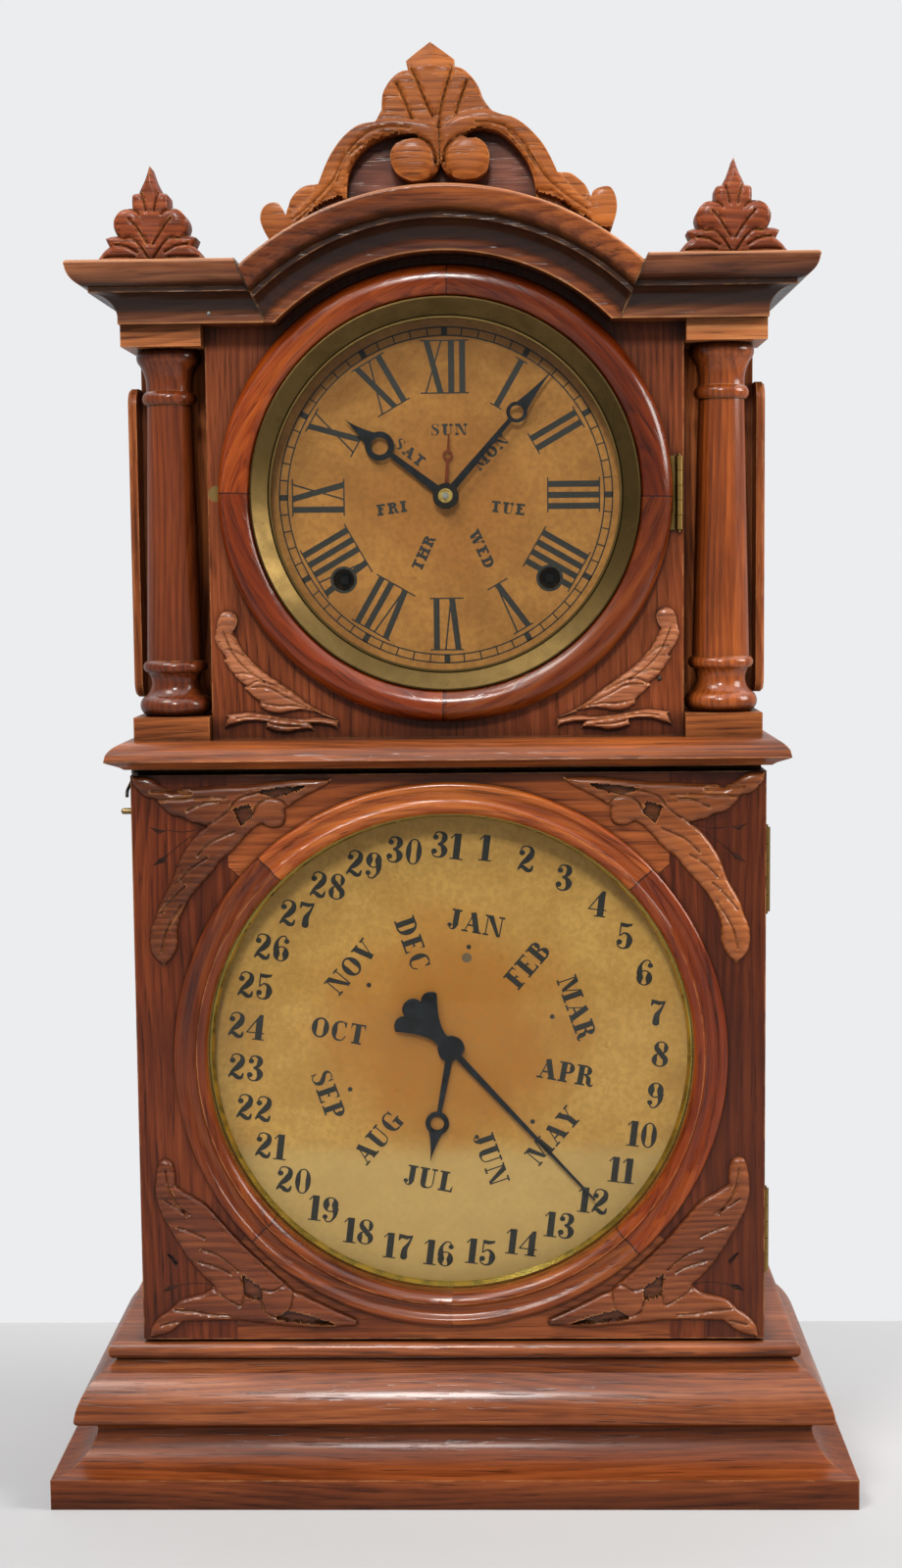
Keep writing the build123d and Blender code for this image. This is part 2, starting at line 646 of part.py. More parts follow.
with BuildPart() as crest_backboard:
    with BuildSketch(crest_plane(HEAD_D + CREST_T)):
        with BuildLine():
            Polyline((52.0, -20.0), (52.0, 26.0), (28.0, 46.0), (9.0, 66.0),
                     (-9.0, 66.0), (-28.0, 46.0), (-52.0, 26.0), (-52.0, -20.0), close=True)
        make_face()
    extrude(amount=-CREST_BACK_T)
    arch_bed(ARCH_TOP_R)
save(crest_backboard, "crest_backboard")

CORNICE_TOP = CORNICE_Z + CORNICE_H


def finial(x):
    """A palmette cut from a board: three-pointed tip, two round lobes and a spreading foot."""
    with BuildSketch(face_plane(HEAD_D - 9.0, CORNICE_TOP, x)) as palmette:
        for s in (-1, 1):
            with BuildLine():
                Polyline((0, 0), (0, 47.0), (s * 5.2, 38.6), (s * 9.2, 39.4), (s * 10.6, 30.4), (s * 12.5, 18.0),
                         (s * 21.4, 16.8), (s * 20.3, 12.8))
                foot = ThreePointArc((s * 20.3, 12.8), (s * 24.4, 8.4), (s * 29.4, 4.0))
                Polyline(foot @ 1, (s * 29.4, 0), (0, 0))
            make_face()
            with Locations((s * 11.6, 24.6)):
                Circle(6.6)
    extrude(palmette.sketch, amount=-FINIAL_T)


with BuildPart() as finials:
    for side in (-1, 1):
        finial(side * FINIAL_X)
save(finials, "finials")

# Scrolled leaves glued to the dial board, in its two lower corners
with BuildPart() as leaf_carvings:
    with BuildSketch(face_plane(BOARD_D - LEAF_T, WAIST_TOP)):
        for s in (-1, 1):
            with BuildLine():
                outer = Spline((s * 112.6, 57.8), (s * 116.6, 49.4), (s * 112.0, 40.4), (s * 103.6, 27.0),
                               (s * 95.0, 17.4), (s * 80.0, 12.8), (s * 62.0, 11.3))
                inner = Spline(outer @ 1, (s * 73.4, 20.2), (s * 86.2, 29.0), (s * 99.8, 41.0),
                               (s * 106.4, 52.0), (s * 107.6, 57.6))
                Line(inner @ 1, outer @ 0)
            make_face()
            with Locations((s * 109.8, 60.8)):
                Circle(4.4)
            with BuildLine():
                low = Spline((s * 113.8, 5.0), (s * 103.0, 10.0), (s * 93.4, 6.0), (s * 80.6, 3.0),
                             (s * 68.6, 5.6))
                top = Spline(low @ 1, (s * 84.0, 9.4), (s * 97.0, 12.8), (s * 107.6, 14.8), (s * 112.8, 11.8))
                Line(top @ 1, low @ 0)
            make_face()
    extrude(amount=-LEAF_T)
save(leaf_carvings, "leaf_carvings")

# ================================================================ hinges
def hinge_leaf(x, axis_d, plate_d, z, height, plate_w, knuckles, pinned):
    """One leaf of a five-knuckle butt hinge: plate, tongues, knuckles and, on one leaf, the pin."""
    pitch = height / 5
    board(x - plate_w, x - KNUCKLE_R - 0.3, plate_d, plate_d + LEAF_PLATE_T, z - height / 2, z + height / 2)
    for n in knuckles:
        low = z - height / 2 + n * pitch + 0.15
        high = low + pitch - 0.3
        board(x - KNUCKLE_R - 0.3, x, plate_d, plate_d + LEAF_PLATE_T, low, high)
        if plate_d > axis_d + KNUCKLE_R - 0.2:
            board(x - 1.0, x, axis_d, plate_d + LEAF_PLATE_T, low, high)
        round_post(KNUCKLE_R, low, high, x, axis_d)
        if not pinned:
            round_post(PIN_R + FIT, low - 1, high + 1, x, axis_d, mode=Mode.SUBTRACT)
    if pinned:
        round_post(PIN_R, z - height / 2 - 1.2, z + height / 2 + 1.2, x, axis_d)


# Leaves let into the case, with the pins
with BuildPart() as case_hinge_leaves:
    hinge_leaf(TIME_HINGE_X, TIME_HINGE_D, BOARD_D, DIAL_Z, TIME_HINGE_H, 14.0, (0, 2, 4), True)
    for hinge_z in CAL_HINGE_ZS:
        hinge_leaf(CAL_HINGE_X, CAL_HINGE_D, LOWER_SIDE_D, hinge_z, CAL_HINGE_H,
                   CAL_HINGE_X - LOWER_HALF + WALL, (0, 2, 4), True)
save(case_hinge_leaves, "case_hinge_leaves")

# ================================================================ time door
with BuildPart() as time_door_ring:
    with BuildSketch(turning_plane(DIAL_Z)):
        with BuildLine():
            crown = ((RING_R + RING_BORE_R) / 2, RING_D)
            inside = TangentArc(crown, (RING_BORE_R, RING_D + 4.0), tangent=(-1, 0))
            outside = TangentArc(crown, (RING_R, RING_D + 7.6), tangent=(1, 0))
            Polyline(outside @ 1, (RING_R - 1.2, RING_BACK_D), (RING_BORE_R, RING_BACK_D), inside @ 1)
        make_face()
    revolve(axis=dial_axis(DIAL_Z))
    board(TIME_HINGE_X - 14, TIME_HINGE_X, RING_BACK_D - LEAF_PLATE_T, RING_BACK_D + 1,
          DIAL_Z - TIME_HINGE_H / 2, DIAL_Z + TIME_HINGE_H / 2, mode=Mode.SUBTRACT)
save(time_door_ring, "time_door_ring")

with BuildPart() as time_hinge_leaf:
    hinge_leaf(TIME_HINGE_X, TIME_HINGE_D, RING_BACK_D - LEAF_PLATE_T, DIAL_Z, TIME_HINGE_H, 14.0, (1, 3), False)
save(time_hinge_leaf, "time_hinge_leaf")

# Spun brass bezel: a dished ring with a rolled inner lip that the glass lies behind
with BuildPart() as time_bezel:
    bezel_back = RING_BACK_D - 0.5
    with BuildSketch(turning_plane(DIAL_Z)):
        with BuildLine():
            Polyline((RING_BORE_R - 1.0, RING_D + 2.2), (RING_BORE_R - 0.2, RING_D + 2.6),
                     (RING_BORE_R - 0.2, bezel_back), (RING_BORE_R - 1.2, bezel_back),
                     (RING_BORE_R - 1.2, RING_D + 4.0), (BEZEL_IN_R + 1.8, bezel_back - 0.7),
                     (BEZEL_IN_R + 1.8, bezel_back), (BEZEL_IN_R, bezel_back),
                     (BEZEL_IN_R, bezel_back - 2.4), (BEZEL_IN_R + 1.0, bezel_back - 2.4),
                     (BEZEL_IN_R + 1.0, bezel_back - 1.6), close=True)
        make_face()
    revolve(axis=dial_axis(DIAL_Z))
save(time_bezel, "time_bezel")

with BuildPart() as time_glass:
    round_bar(BOARD_HOLE_R - 2.0, bezel_back, bezel_back + GLASS_T, 0, DIAL_Z)
save(time_glass, "time_glass")

# Round brass strike on the dial board; the edge of the door ring snaps over it
with BuildPart() as time_catch:
    round_bar(CATCH_R, BOARD_D - 0.1, BOARD_D + 0.9, CATCH_X, CATCH_Z)
save(time_catch, "time_catch")

# ================================================================ time dial and hands
with BuildPart() as time_dial:
    with BuildSketch(face_plane(DIAL_D, DIAL_Z)):
        Circle(DIAL_R)
        Circle(DIAL_HOLE_R, mode=Mode.SUBTRACT)
        with Locations((-WIND_X, -WIND_DROP), (WIND_X, -WIND_DROP)):
            Circle(WIND_HOLE_R, mode=Mode.SUBTRACT)
    extrude(amount=-DIAL_T)
save(time_dial, "time_dial")


def spade_outline(length, width, ring_y, ring_r, hole_r, tail):
    """Stem, pierced ring and long spear point of one hand, added to the sketch in hand."""
    with BuildLine() as stem:
        Polyline((-width, -tail), (-width * 0.55, ring_y), (width * 0.55, ring_y), (width, -tail), close=True)
    make_face(stem.edges())
    with BuildLine() as spear:
        root = ring_y + ring_r * 0.4
        left = ThreePointArc((-ring_r * 0.72, root), (-ring_r * 0.24, (root + length) / 2), (0, length))
        right = ThreePointArc(left @ 1, (ring_r * 0.24, (root + length) / 2), (ring_r * 0.72, root))
        Line(right @ 1, left @ 0)
    make_face(spear.edges())
    with Locations((0, ring_y)):
        Circle(ring_r)
        Circle(hole_r, mode=Mode.SUBTRACT)


with BuildPart() as minute_hand:
    with BuildSketch(hand_plane(MINUTE_HAND_D, DIAL_Z, MINUTE_ANGLE)):
        spade_outline(84.5, 2.0, 55.4, 5.3, 3.4, 0)
        Circle(6.0)
        Rectangle(2.0, 2.0, mode=Mode.SUBTRACT)
    extrude(amount=-HAND_T)
save(minute_hand, "minute_hand")

with BuildPart() as hour_hand:
    with BuildSketch(hand_plane(HOUR_HAND_D, DIAL_Z, HOUR_ANGLE)):
        spade_outline(64.6, 2.2, 42.0, 7.4, 4.4, 0)
        Circle(6.6)
        Circle(SLEEVE_R + 0.02, mode=Mode.SUBTRACT)
    extrude(amount=-HAND_T)
save(hour_hand, "hour_hand")

# Weekday hand with its sleeve and the seven-pointed star that is tripped once a day
with BuildPart() as weekday_hand:
    with BuildSketch(hand_plane(WEEKDAY_HAND_D, DIAL_Z, WEEKDAY_ANGLE)):
        with BuildLine():
            Polyline((-1.1, 0), (-0.45, 31.4), (0.45, 31.4), (1.1, 0), close=True)
        make_face()
        with Locations((0, 20.6)):
            Circle(2.7)
            Circle(1.5, mode=Mode.SUBTRACT)
        Circle(5.6)
        Circle(SLEEVE_R + FIT, mode=Mode.SUBTRACT)
    extrude(amount=-0.6)
    round_bar(WEEKDAY_SLEEVE_R, WEEKDAY_HAND_D, DIAL_D + DIAL_T + 1.6, 0, DIAL_Z)
    pointed_disc(7, 9.0, 5.4, DIAL_D + DIAL_T + 0.5, 1.1, 0, DIAL_Z)
    round_bar(SLEEVE_R + FIT, WEEKDAY_HAND_D - 1, DIAL_D + DIAL_T + 3, 0, DIAL_Z, mode=Mode.SUBTRACT)
save(weekday_hand, "weekday_hand")

# Centre arbor: cannon pinion, square for the minute hand, and the brass collet and nut in front
back_plate_d = PLATE_D + PLATE_T + PLATE_GAP
with BuildPart() as centre_arbor:
    round_bar(ARBOR_R, MINUTE_HAND_D + HAND_T, back_plate_d + PLATE_T + 0.4, 0, DIAL_Z)
    with BuildSketch(hand_plane(MINUTE_HAND_D - 0.2, DIAL_Z, MINUTE_ANGLE)):
        Rectangle(2.0 - 0.04, 2.0 - 0.04)
    extrude(amount=-(HAND_T + 0.3))
    round_bar(6.4, MINUTE_HAND_D - 1.2, MINUTE_HAND_D, 0, DIAL_Z)
    round_bar(3.4, MINUTE_HAND_D - 2.6, MINUTE_HAND_D - 1.2, 0, DIAL_Z)
    round_bar(1.5, MINUTE_HAND_D - 3.6, MINUTE_HAND_D - 2.6, 0, DIAL_Z)
    toothed_disc(CANNON_TEETH, MOTION_MODULE, 64.0, 2.6, 0, DIAL_Z, MOTION_ANGLE)
    toothed_disc(8, 0.9, 84.0, 14.0, 0, DIAL_Z, 0.0)
save(centre_arbor, "centre_arbor")

with BuildPart() as hour_wheel:
    toothed_disc(HOUR_TEETH, HOUR_MODULE, 60.4, 1.2, 0, DIAL_Z, MOTION_ANGLE + 180.0 / HOUR_TEETH)
    round_bar(SLEEVE_R, HOUR_HAND_D, 62.6, 0, DIAL_Z)
    with BuildSketch(face_plane(60.4, DIAL_Z)):
        with PolarLocations(9.0, 5):
            Circle(3.0)
    extrude(amount=-1.2, mode=Mode.SUBTRACT)
    round_bar(ARBOR_R + FIT, HOUR_HAND_D - 1, 64.0, 0, DIAL_Z, mode=Mode.SUBTRACT)
save(hour_wheel, "hour_wheel")

# Minute wheel and pinion of the motion work, on a stud riveted to the front plate
motion_a = math.radians(MOTION_ANGLE)
motion_x = CENTRE_DISTANCE * math.cos(motion_a)
motion_z = DIAL_Z + CENTRE_DISTANCE * math.sin(motion_a)
with BuildPart() as motion_wheel:
    toothed_disc(MINUTE_TEETH, MOTION_MODULE, 64.6, 1.2, motion_x, motion_z,
                 MOTION_ANGLE + 180.0 + 180.0 / MINUTE_TEETH)
    toothed_disc(PINION_TEETH, HOUR_MODULE, 60.0, 4.6, motion_x, motion_z, MOTION_ANGLE + 180.0)
    with BuildSketch(face_plane(64.6, motion_z, motion_x)):
        with PolarLocations(8.4, 4):
            Circle(2.8)
    extrude(amount=-1.2, mode=Mode.SUBTRACT)
    round_bar(1.0 + FIT, 58.0, 68.0, motion_x, motion_z, mode=Mode.SUBTRACT)
save(motion_wheel, "motion_wheel")

# ================================================================ movement plates
LUGS = [(s * LUG_X, dz) for s in (-1, 1) for dz in LUG_OFFSETS]
PILLARS = [(s * (PLATE_HALF - 8), dz) for s in (-1, 1) for dz in (PLATE_TOP - 8, -PLATE_BOTTOM + 8)]
WINDERS = [(-WIND_X, -WIND_DROP), (WIND_X, -WIND_DROP)]
ESCAPE_Z = VERGE_Z - ESCAPE_DROP


def plate_outline(holes):
    """Pierced movement plate, drawn about the dial centre; holes is a list of (x, y, radius)."""
    with Locations((0, (PLATE_TOP - PLATE_BOTTOM) / 2)):
        RectangleRounded(2 * PLATE_HALF, PLATE_TOP + PLATE_BOTTOM, 8.0)
    with Locations((0, -52.0)):
        RectangleRounded(34.0, 26.0, 6.0, mode=Mode.SUBTRACT)
    with Locations((-40.0, 14.0), (46.0, 20.0)):
        RectangleRounded(26.0, 40.0, 6.0, mode=Mode.SUBTRACT)
    for x, y, radius in holes:
        with Locations((x, y)):
            Circle(radius, mode=Mode.SUBTRACT)


with BuildPart() as movement_front_plate:
    with BuildSketch(face_plane(PLATE_D, DIAL_Z)):
        plate_outline([(0, 0, ARBOR_R + FIT), (WIND_X, -WIND_DROP, 3.0 + FIT), (-WIND_X, -WIND_DROP, 3.0 + FIT),
                       (0, ESCAPE_Z - DIAL_Z, 1.0 + FIT), (0, VERGE_Z - DIAL_Z, 1.0 + FIT),
                       (HAMMER_X, HAMMER_Z - DIAL_Z, 1.0 + FIT)])
        for side in (-1, 1):
            for lug_z in LUG_OFFSETS:
                with Locations((side * (PLATE_HALF + LUG_X + LUG_HALF - 6) / 2, lug_z)):
                    Rectangle(LUG_X + LUG_HALF - PLATE_HALF + 6, 2 * LUG_HALF)
                with Locations((side * LUG_X, lug_z)):
                    Circle(1.5 + FIT, mode=Mode.SUBTRACT)
    extrude(amount=-PLATE_T)
    round_bar(1.0, 59.6, PLATE_D, motion_x, motion_z)
    board(LIFT_X - 4, LIFT_X + 4, LIFT_D - 3, PLATE_D, LIFT_LUG_Z, LIFT_LUG_Z + 2.0)
    round_post(LIFT_R + FIT, LIFT_LUG_Z - 2.0, LIFT_LUG_Z + 4.0, LIFT_X, LIFT_D, mode=Mode.SUBTRACT)
save(movement_front_plate, "movement_front_plate")

# Back plate with its riveted pillars and the cock that carries the pendulum
with BuildPart() as movement_back_plate:
    with BuildSketch(face_plane(back_plate_d, DIAL_Z)):
        plate_outline([(0, 0, ARBOR_R + FIT), (WIND_X, -WIND_DROP, 2.0 + FIT), (-WIND_X, -WIND_DROP, 2.0 + FIT),
                       (0, ESCAPE_Z - DIAL_Z, 1.0 + FIT), (0, VERGE_Z - DIAL_Z, 1.0 + FIT),
                       (HAMMER_X, HAMMER_Z - DIAL_Z, 1.0 + FIT)])
    extrude(amount=-PLATE_T)
    for px, pz in PILLARS:
        round_bar(3.2, PLATE_D + PLATE_T, back_plate_d, px, DIAL_Z + pz)
    board(-5, 5, back_plate_d + PLATE_T, PENDULUM_D + 6, VERGE_Z + 6, VERGE_Z + 8)
    board(-5, 5, PENDULUM_D + 4.4, PENDULUM_D + 6, VERGE_Z - 4, VERGE_Z + 6)
    round_bar(1.2, PENDULUM_D - 1.6, PENDULUM_D + 4.4, 0, VERGE_Z)
save(movement_back_plate, "movement_back_plate")

# Four screws that hold the front plate to the cleats, and the pivot screw of the door hook
with BuildPart() as screws:
    for lug_x, lug_z in LUGS:
        round_bar(1.5, PLATE_D - 8.0, PLATE_D + PLATE_T, lug_x, DIAL_Z + lug_z)
        round_bar(3.0, PLATE_D + PLATE_T, PLATE_D + PLATE_T + 1.6, lug_x, DIAL_Z + lug_z)
    with BuildSketch(Plane(origin=(-LOWER_HALF + 4.5, y_at(HOOK_D), HOOK_Z), x_dir=(0, 1, 0), z_dir=(-1, 0, 0))):
        Circle(1.0)
    extrude(amount=8.1)
    with BuildSketch(Plane(origin=(HOOK_X - 1.3, y_at(HOOK_D), HOOK_Z), x_dir=(0, 1, 0), z_dir=(-1, 0, 0))):
        Circle(2.2)
    extrude(amount=1.0)
save(screws, "screws")


def winding_arbor(sign):
    """Square-ended arbor with its ratchet, great wheel and coiled mainspring."""
    x = sign * WIND_X
    z = DIAL_Z - WIND_DROP
    with BuildPart() as arbor:
        round_bar(3.0, PLATE_D - 1.0, back_plate_d - 0.4, x, z)
        round_bar(2.0, back_plate_d - 0.4, back_plate_d + PLATE_T + 0.6, x, z)
        with BuildSketch(face_plane(DIAL_D + 4.0, z, x)):
            Rectangle(4.2, 4.2)
        extrude(amount=-(PLATE_D - DIAL_D - 5.0))
        pointed_disc(18, 12.0, 9.6, PLATE_D + PLATE_T + 1.0, 1.2, x, z, lean=0.35)
        toothed_disc(48, 0.95, PLATE_D + PLATE_T + 3.2, 1.8, x, z, 0.0)
        coil_strip(3.6, 3.4, 10, 0.9, PLATE_D + PLATE_T + 5.0, 20.0, x, z)
    return arbor


time_winding_arbor = winding_arbor(1)
save(time_winding_arbor, "time_winding_arbor")
strike_winding_arbor = winding_arbor(-1)
save(strike_winding_arbor, "strike_winding_arbor")

# ================================================================ escapement and pendulum
ESCAPE_D = 98.0
with BuildPart() as escape_wheel:
    pointed_disc(30, ESCAPE_R, ESCAPE_R - 3.0, ESCAPE_D, 1.0, 0, ESCAPE_Z, lean=-0.4)
    with BuildSketch(face_plane(ESCAPE_D, ESCAPE_Z)):
        with PolarLocations(7.4, 4):
            Circle(2.8)
    extrude(amount=-1.0, mode=Mode.SUBTRACT)
    round_bar(1.0, PLATE_D + 0.4, back_plate_d + PLATE_T - 0.4, 0, ESCAPE_Z)
    toothed_disc(7, 0.8, ESCAPE_D - 8.0, 6.0, 0, ESCAPE_Z, 0.0)
save(escape_wheel, "escape_wheel")

# Strip verge bowed over the escape wheel, with the crutch that embraces the pendulum rod
VERGE_CLEAR = 1.8
with BuildPart() as verge:
    with BuildSketch(face_plane(ESCAPE_D - 0.3, ESCAPE_Z)):
        Circle(ESCAPE_R + VERGE_CLEAR + 1.4)
        Circle(ESCAPE_R + VERGE_CLEAR, mode=Mode.SUBTRACT)
        with Locations((0, 34.0)):
            Rectangle(29.0, 50.0, mode=Mode.INTERSECT)
        with Locations((0, ESCAPE_DROP)):
            Circle(3.4)
    extrude(amount=-1.6)
    round_bar(1.0, PLATE_D + 0.4, PENDULUM_D - 4.0, 0, VERGE_Z)
    board(-1.0, 1.0, PENDULUM_D - 6.0, PENDULUM_D - 4.4, VERGE_Z - 30.0, VERGE_Z)
    board(-3.0, 3.0, PENDULUM_D - 6.0, PENDULUM_D - 4.4, VERGE_Z - 32.0, VERGE_Z - 30.0)
    for side in (-1, 1):
        prong = sorted((side * (ROD_R + 0.4), side * (ROD_R + 1.9)))
        board(prong[0], prong[1], PENDULUM_D - 6.0, PENDULUM_D + 3.0, VERGE_Z - 32.0, VERGE_Z - 30.0)
save(verge, "verge")

# Pendulum: hook over the cock's pin, iron rod, and a lens-shaped bob
with BuildPart() as pendulum:
    with BuildSketch(face_plane(PENDULUM_D, VERGE_Z)):
        Circle(2.8)
        Circle(1.2 + FIT, mode=Mode.SUBTRACT)
    extrude(amount=-2.2)
    round_post(ROD_R, BOB_Z - BOB_R - 5.0, VERGE_Z - 2.2, 0, PENDULUM_D + 1.1)
    with BuildSketch(Plane(origin=(0, y_at(PENDULUM_D + 1.1), BOB_Z), x_dir=(1, 0, 0), z_dir=(0, 0, 1))):
        with BuildLine():
            front_face = ThreePointArc((0, -BOB_T / 2), (BOB_R * 0.62, -BOB_T * 0.36), (BOB_R, -0.8))
            bob_edge = Line(front_face @ 1, (BOB_R, 0.8))
            back_face = ThreePointArc(bob_edge @ 1, (BOB_R * 0.62, BOB_T * 0.36), (0, BOB_T / 2))
            Line(back_face @ 1, front_face @ 0)
        make_face()
    revolve(axis=Axis((0, 0, BOB_Z), (0, 1, 0)))
    round_post(2.4, BOB_Z - BOB_R - 4.0, BOB_Z - BOB_R - 1.0, 0, PENDULUM_D + 1.1)
save(pendulum, "pendulum")

# ================================================================ strike
# Coiled gong on its cast foot, screwed to the back board
with BuildPart() as gong:
    round_bar(11.0, UPPER_BACK_D - 5.0, UPPER_BACK_D, 0, GONG_Z)
    round_bar(5.0, GONG_D - 1.0, UPPER_BACK_D - 5.0, 0, GONG_Z)
    coil_strip(4.6, 8.4, 8, 1.8, GONG_D, 3.2, 0, GONG_Z)
save(gong, "gong")

with BuildPart() as hammer:
    round_bar(1.0, PLATE_D + 0.4, back_plate_d + PLATE_T + 3.4, HAMMER_X, HAMMER_Z)
    board(HAMMER_X - 1.4, HAMMER_X + 1.4, back_plate_d + PLATE_T + 1.2, back_plate_d + PLATE_T + 3.4,
          GONG_Z - 1.4, HAMMER_Z + 3.0)
    round_bar(1.2, back_plate_d + PLATE_T + 1.2, GONG_D + 1.6, HAMMER_X, GONG_Z)
    with BuildSketch(Plane(origin=(HAMMER_X - 5.0, y_at(GONG_D + 1.6), GONG_Z), x_dir=(0, 1, 0), z_dir=(1, 0, 0))):
        Circle(4.6)
    extrude(amount=9.4)
    board(HAMMER_X - 6.0, HAMMER_X, 82.0, 84.0, HAMMER_Z - 1.2, HAMMER_Z + 1.2)
save(hammer, "hammer")

# ================================================================ calendar work
with BuildPart() as calendar_dial_board:
    board(-LOWER_HALF + WALL, LOWER_HALF - WALL, CAL_DIAL_D + DIAL_T, CAL_DIAL_D + DIAL_T + CAL_BOARD_T,
          BASE_H, WAIST_Z)
    round_bar(4.2, CAL_DIAL_D, CAL_DIAL_D + 12, 0, CAL_Z, mode=Mode.SUBTRACT)
save(calendar_dial_board, "calendar_dial_board")

with BuildPart() as calendar_dial:
    with BuildSketch(face_plane(CAL_DIAL_D, CAL_Z)):
        Circle(CAL_DIAL_R)
        Circle(4.2, mode=Mode.SUBTRACT)
    extrude(amount=-DIAL_T)
save(calendar_dial, "calendar_dial")

CAL_BOARD_BACK = CAL_DIAL_D + DIAL_T + CAL_BOARD_T
with BuildPart() as calendar_plate:
    with BuildSketch(face_plane(CAL_PLATE_D, CAL_Z)):
        RectangleRounded(96.0, 96.0, 8.0)
        with PolarLocations(27.0, 4):
            Circle(9.0, mode=Mode.SUBTRACT)
        Circle(1.8 + FIT, mode=Mode.SUBTRACT)
    extrude(amount=-PLATE_T)
    for px in (-42.0, 42.0):
        for pz in (-42.0, 42.0):
            round_bar(3.0, CAL_BOARD_BACK, CAL_PLATE_D, px, CAL_Z + pz)
    board(LIFT_X - 4, LIFT_X + 4, LIFT_D - 3, CAL_PLATE_D, CAL_Z + 38.0, CAL_Z + 40.0)
    round_post(LIFT_R + FIT, CAL_Z + 36.0, CAL_Z + 42.0, LIFT_X, LIFT_D, mode=Mode.SUBTRACT)
save(calendar_plate, "calendar_plate")

# Date hand with its arbor, collet and the 31-tooth wheel that the lifting rod advances
with BuildPart() as date_hand:
    with BuildSketch(hand_plane(DATE_HAND_D, CAL_Z, DATE_ANGLE)):
        with BuildLine():
            Polyline((-1.9, 0), (-0.5, 110.0), (0.5, 110.0), (1.9, 0), close=True)
        make_face()
        with BuildLine():
            neck_left = Line((-2.0, 0), (-3.0, -9.0))
            fan_left = ThreePointArc(neck_left @ 1, (-8.4, -11.0), (-12.4, -18.0))
            scallop_a = ThreePointArc(fan_left @ 1, (-11.6, -26.0), (-4.6, -27.4))
            scallop_b = ThreePointArc(scallop_a @ 1, (0, -33.0), (4.6, -27.4))
            scallop_c = ThreePointArc(scallop_b @ 1, (11.6, -26.0), (12.4, -18.0))
            fan_right = ThreePointArc(scallop_c @ 1, (8.4, -11.0), (3.0, -9.0))
            neck_right = Line(fan_right @ 1, (2.0, 0))
            Line(neck_right @ 1, neck_left @ 0)
        make_face()
        Circle(7.2)
    extrude(amount=-1.0)
    round_bar(4.4, DATE_HAND_D - 1.4, DATE_HAND_D, 0, CAL_Z)
    round_bar(1.8, DATE_HAND_D, CAL_PLATE_D + PLATE_T + 0.5, 0, CAL_Z)
    pointed_disc(DATE_TEETH, DATE_WHEEL_R, DATE_WHEEL_R - 3.4, 63.8, 1.2, 0, CAL_Z, lean=0.35)
save(date_hand, "date_hand")

# Month hand on a sleeve that turns round the date arbor and carries the twelve-lobed month cam
with BuildPart() as month_hand:
    with BuildSketch(hand_plane(MONTH_HAND_D, CAL_Z, MONTH_ANGLE)):
        spade_outline(61.8, 2.0, 40.7, 6.2, 3.6, 0)
        Circle(6.6)
    extrude(amount=-0.9)
    round_bar(3.6, MONTH_HAND_D, 63.2, 0, CAL_Z)
    with BuildSketch(face_plane(61.4, CAL_Z)):
        Circle(17.0)
        with PolarLocations(17.6, 12):
            Circle(2.2, mode=Mode.SUBTRACT)
    extrude(amount=-1.4)
    round_bar(1.8 + FIT, MONTH_HAND_D - 1, 65.0, 0, CAL_Z, mode=Mode.SUBTRACT)
save(month_hand, "month_hand")

# Wire that the time movement lifts once a day; its foot advances the date wheel as it drops
with BuildPart() as lifting_rod:
    round_post(LIFT_R, LIFT_BOTTOM, LIFT_TOP, LIFT_X, LIFT_D)
    board(LIFT_X - 4.4, LIFT_X + 1.0, LIFT_D - 0.8, LIFT_D + 0.8, LIFT_BOTTOM, LIFT_BOTTOM + 2.6)
    round_post(2.6, LIFT_LUG_Z - 10.0, LIFT_LUG_Z - 8.0, LIFT_X, LIFT_D)
save(lifting_rod, "lifting_rod")

# ================================================================ calendar door
CAL_DOOR_BACK = CAL_DOOR_D + CAL_DOOR_T
CAL_RING_BACK = CAL_DOOR_BACK - 4.0
with BuildPart() as calendar_door:
    with BuildSketch(face_plane(CAL_DOOR_D)):
        with Locations((0, (CAL_DOOR_BOTTOM + CAL_DOOR_TOP) / 2)):
            Rectangle(2 * CAL_DOOR_HALF, CAL_DOOR_TOP - CAL_DOOR_BOTTOM)
        with Locations((0, CAL_Z)):
            Circle(CAL_HOLE_R, mode=Mode.SUBTRACT)
    extrude(amount=-CAL_DOOR_T)
    for hinge_z in CAL_HINGE_ZS:
        board(CAL_DOOR_HALF - WALL, CAL_DOOR_HALF + 1, CAL_DOOR_BACK - LEAF_PLATE_T, CAL_DOOR_BACK + 1,
              hinge_z - CAL_HINGE_H / 2, hinge_z + CAL_HINGE_H / 2, mode=Mode.SUBTRACT)
    with BuildSketch(Plane(origin=(-CAL_DOOR_HALF, y_at(CAL_DOOR_D + 9.0), HOOK_Z - HOOK_PIN_DROP),
                           x_dir=(0, 1, 0), z_dir=(-1, 0, 0))):
        Circle(HOOK_PIN_R + FIT)
    extrude(amount=-6.0, mode=Mode.SUBTRACT)
save(calendar_door, "calendar_door")

with BuildPart() as calendar_hinge_leaves:
    for hinge_z in CAL_HINGE_ZS:
        hinge_leaf(CAL_HINGE_X, CAL_HINGE_D, CAL_DOOR_BACK - LEAF_PLATE_T, hinge_z, CAL_HINGE_H,
                   CAL_HINGE_X - CAL_DOOR_HALF + WALL, (1, 3), False)
save(calendar_hinge_leaves, "calendar_hinge_leaves")

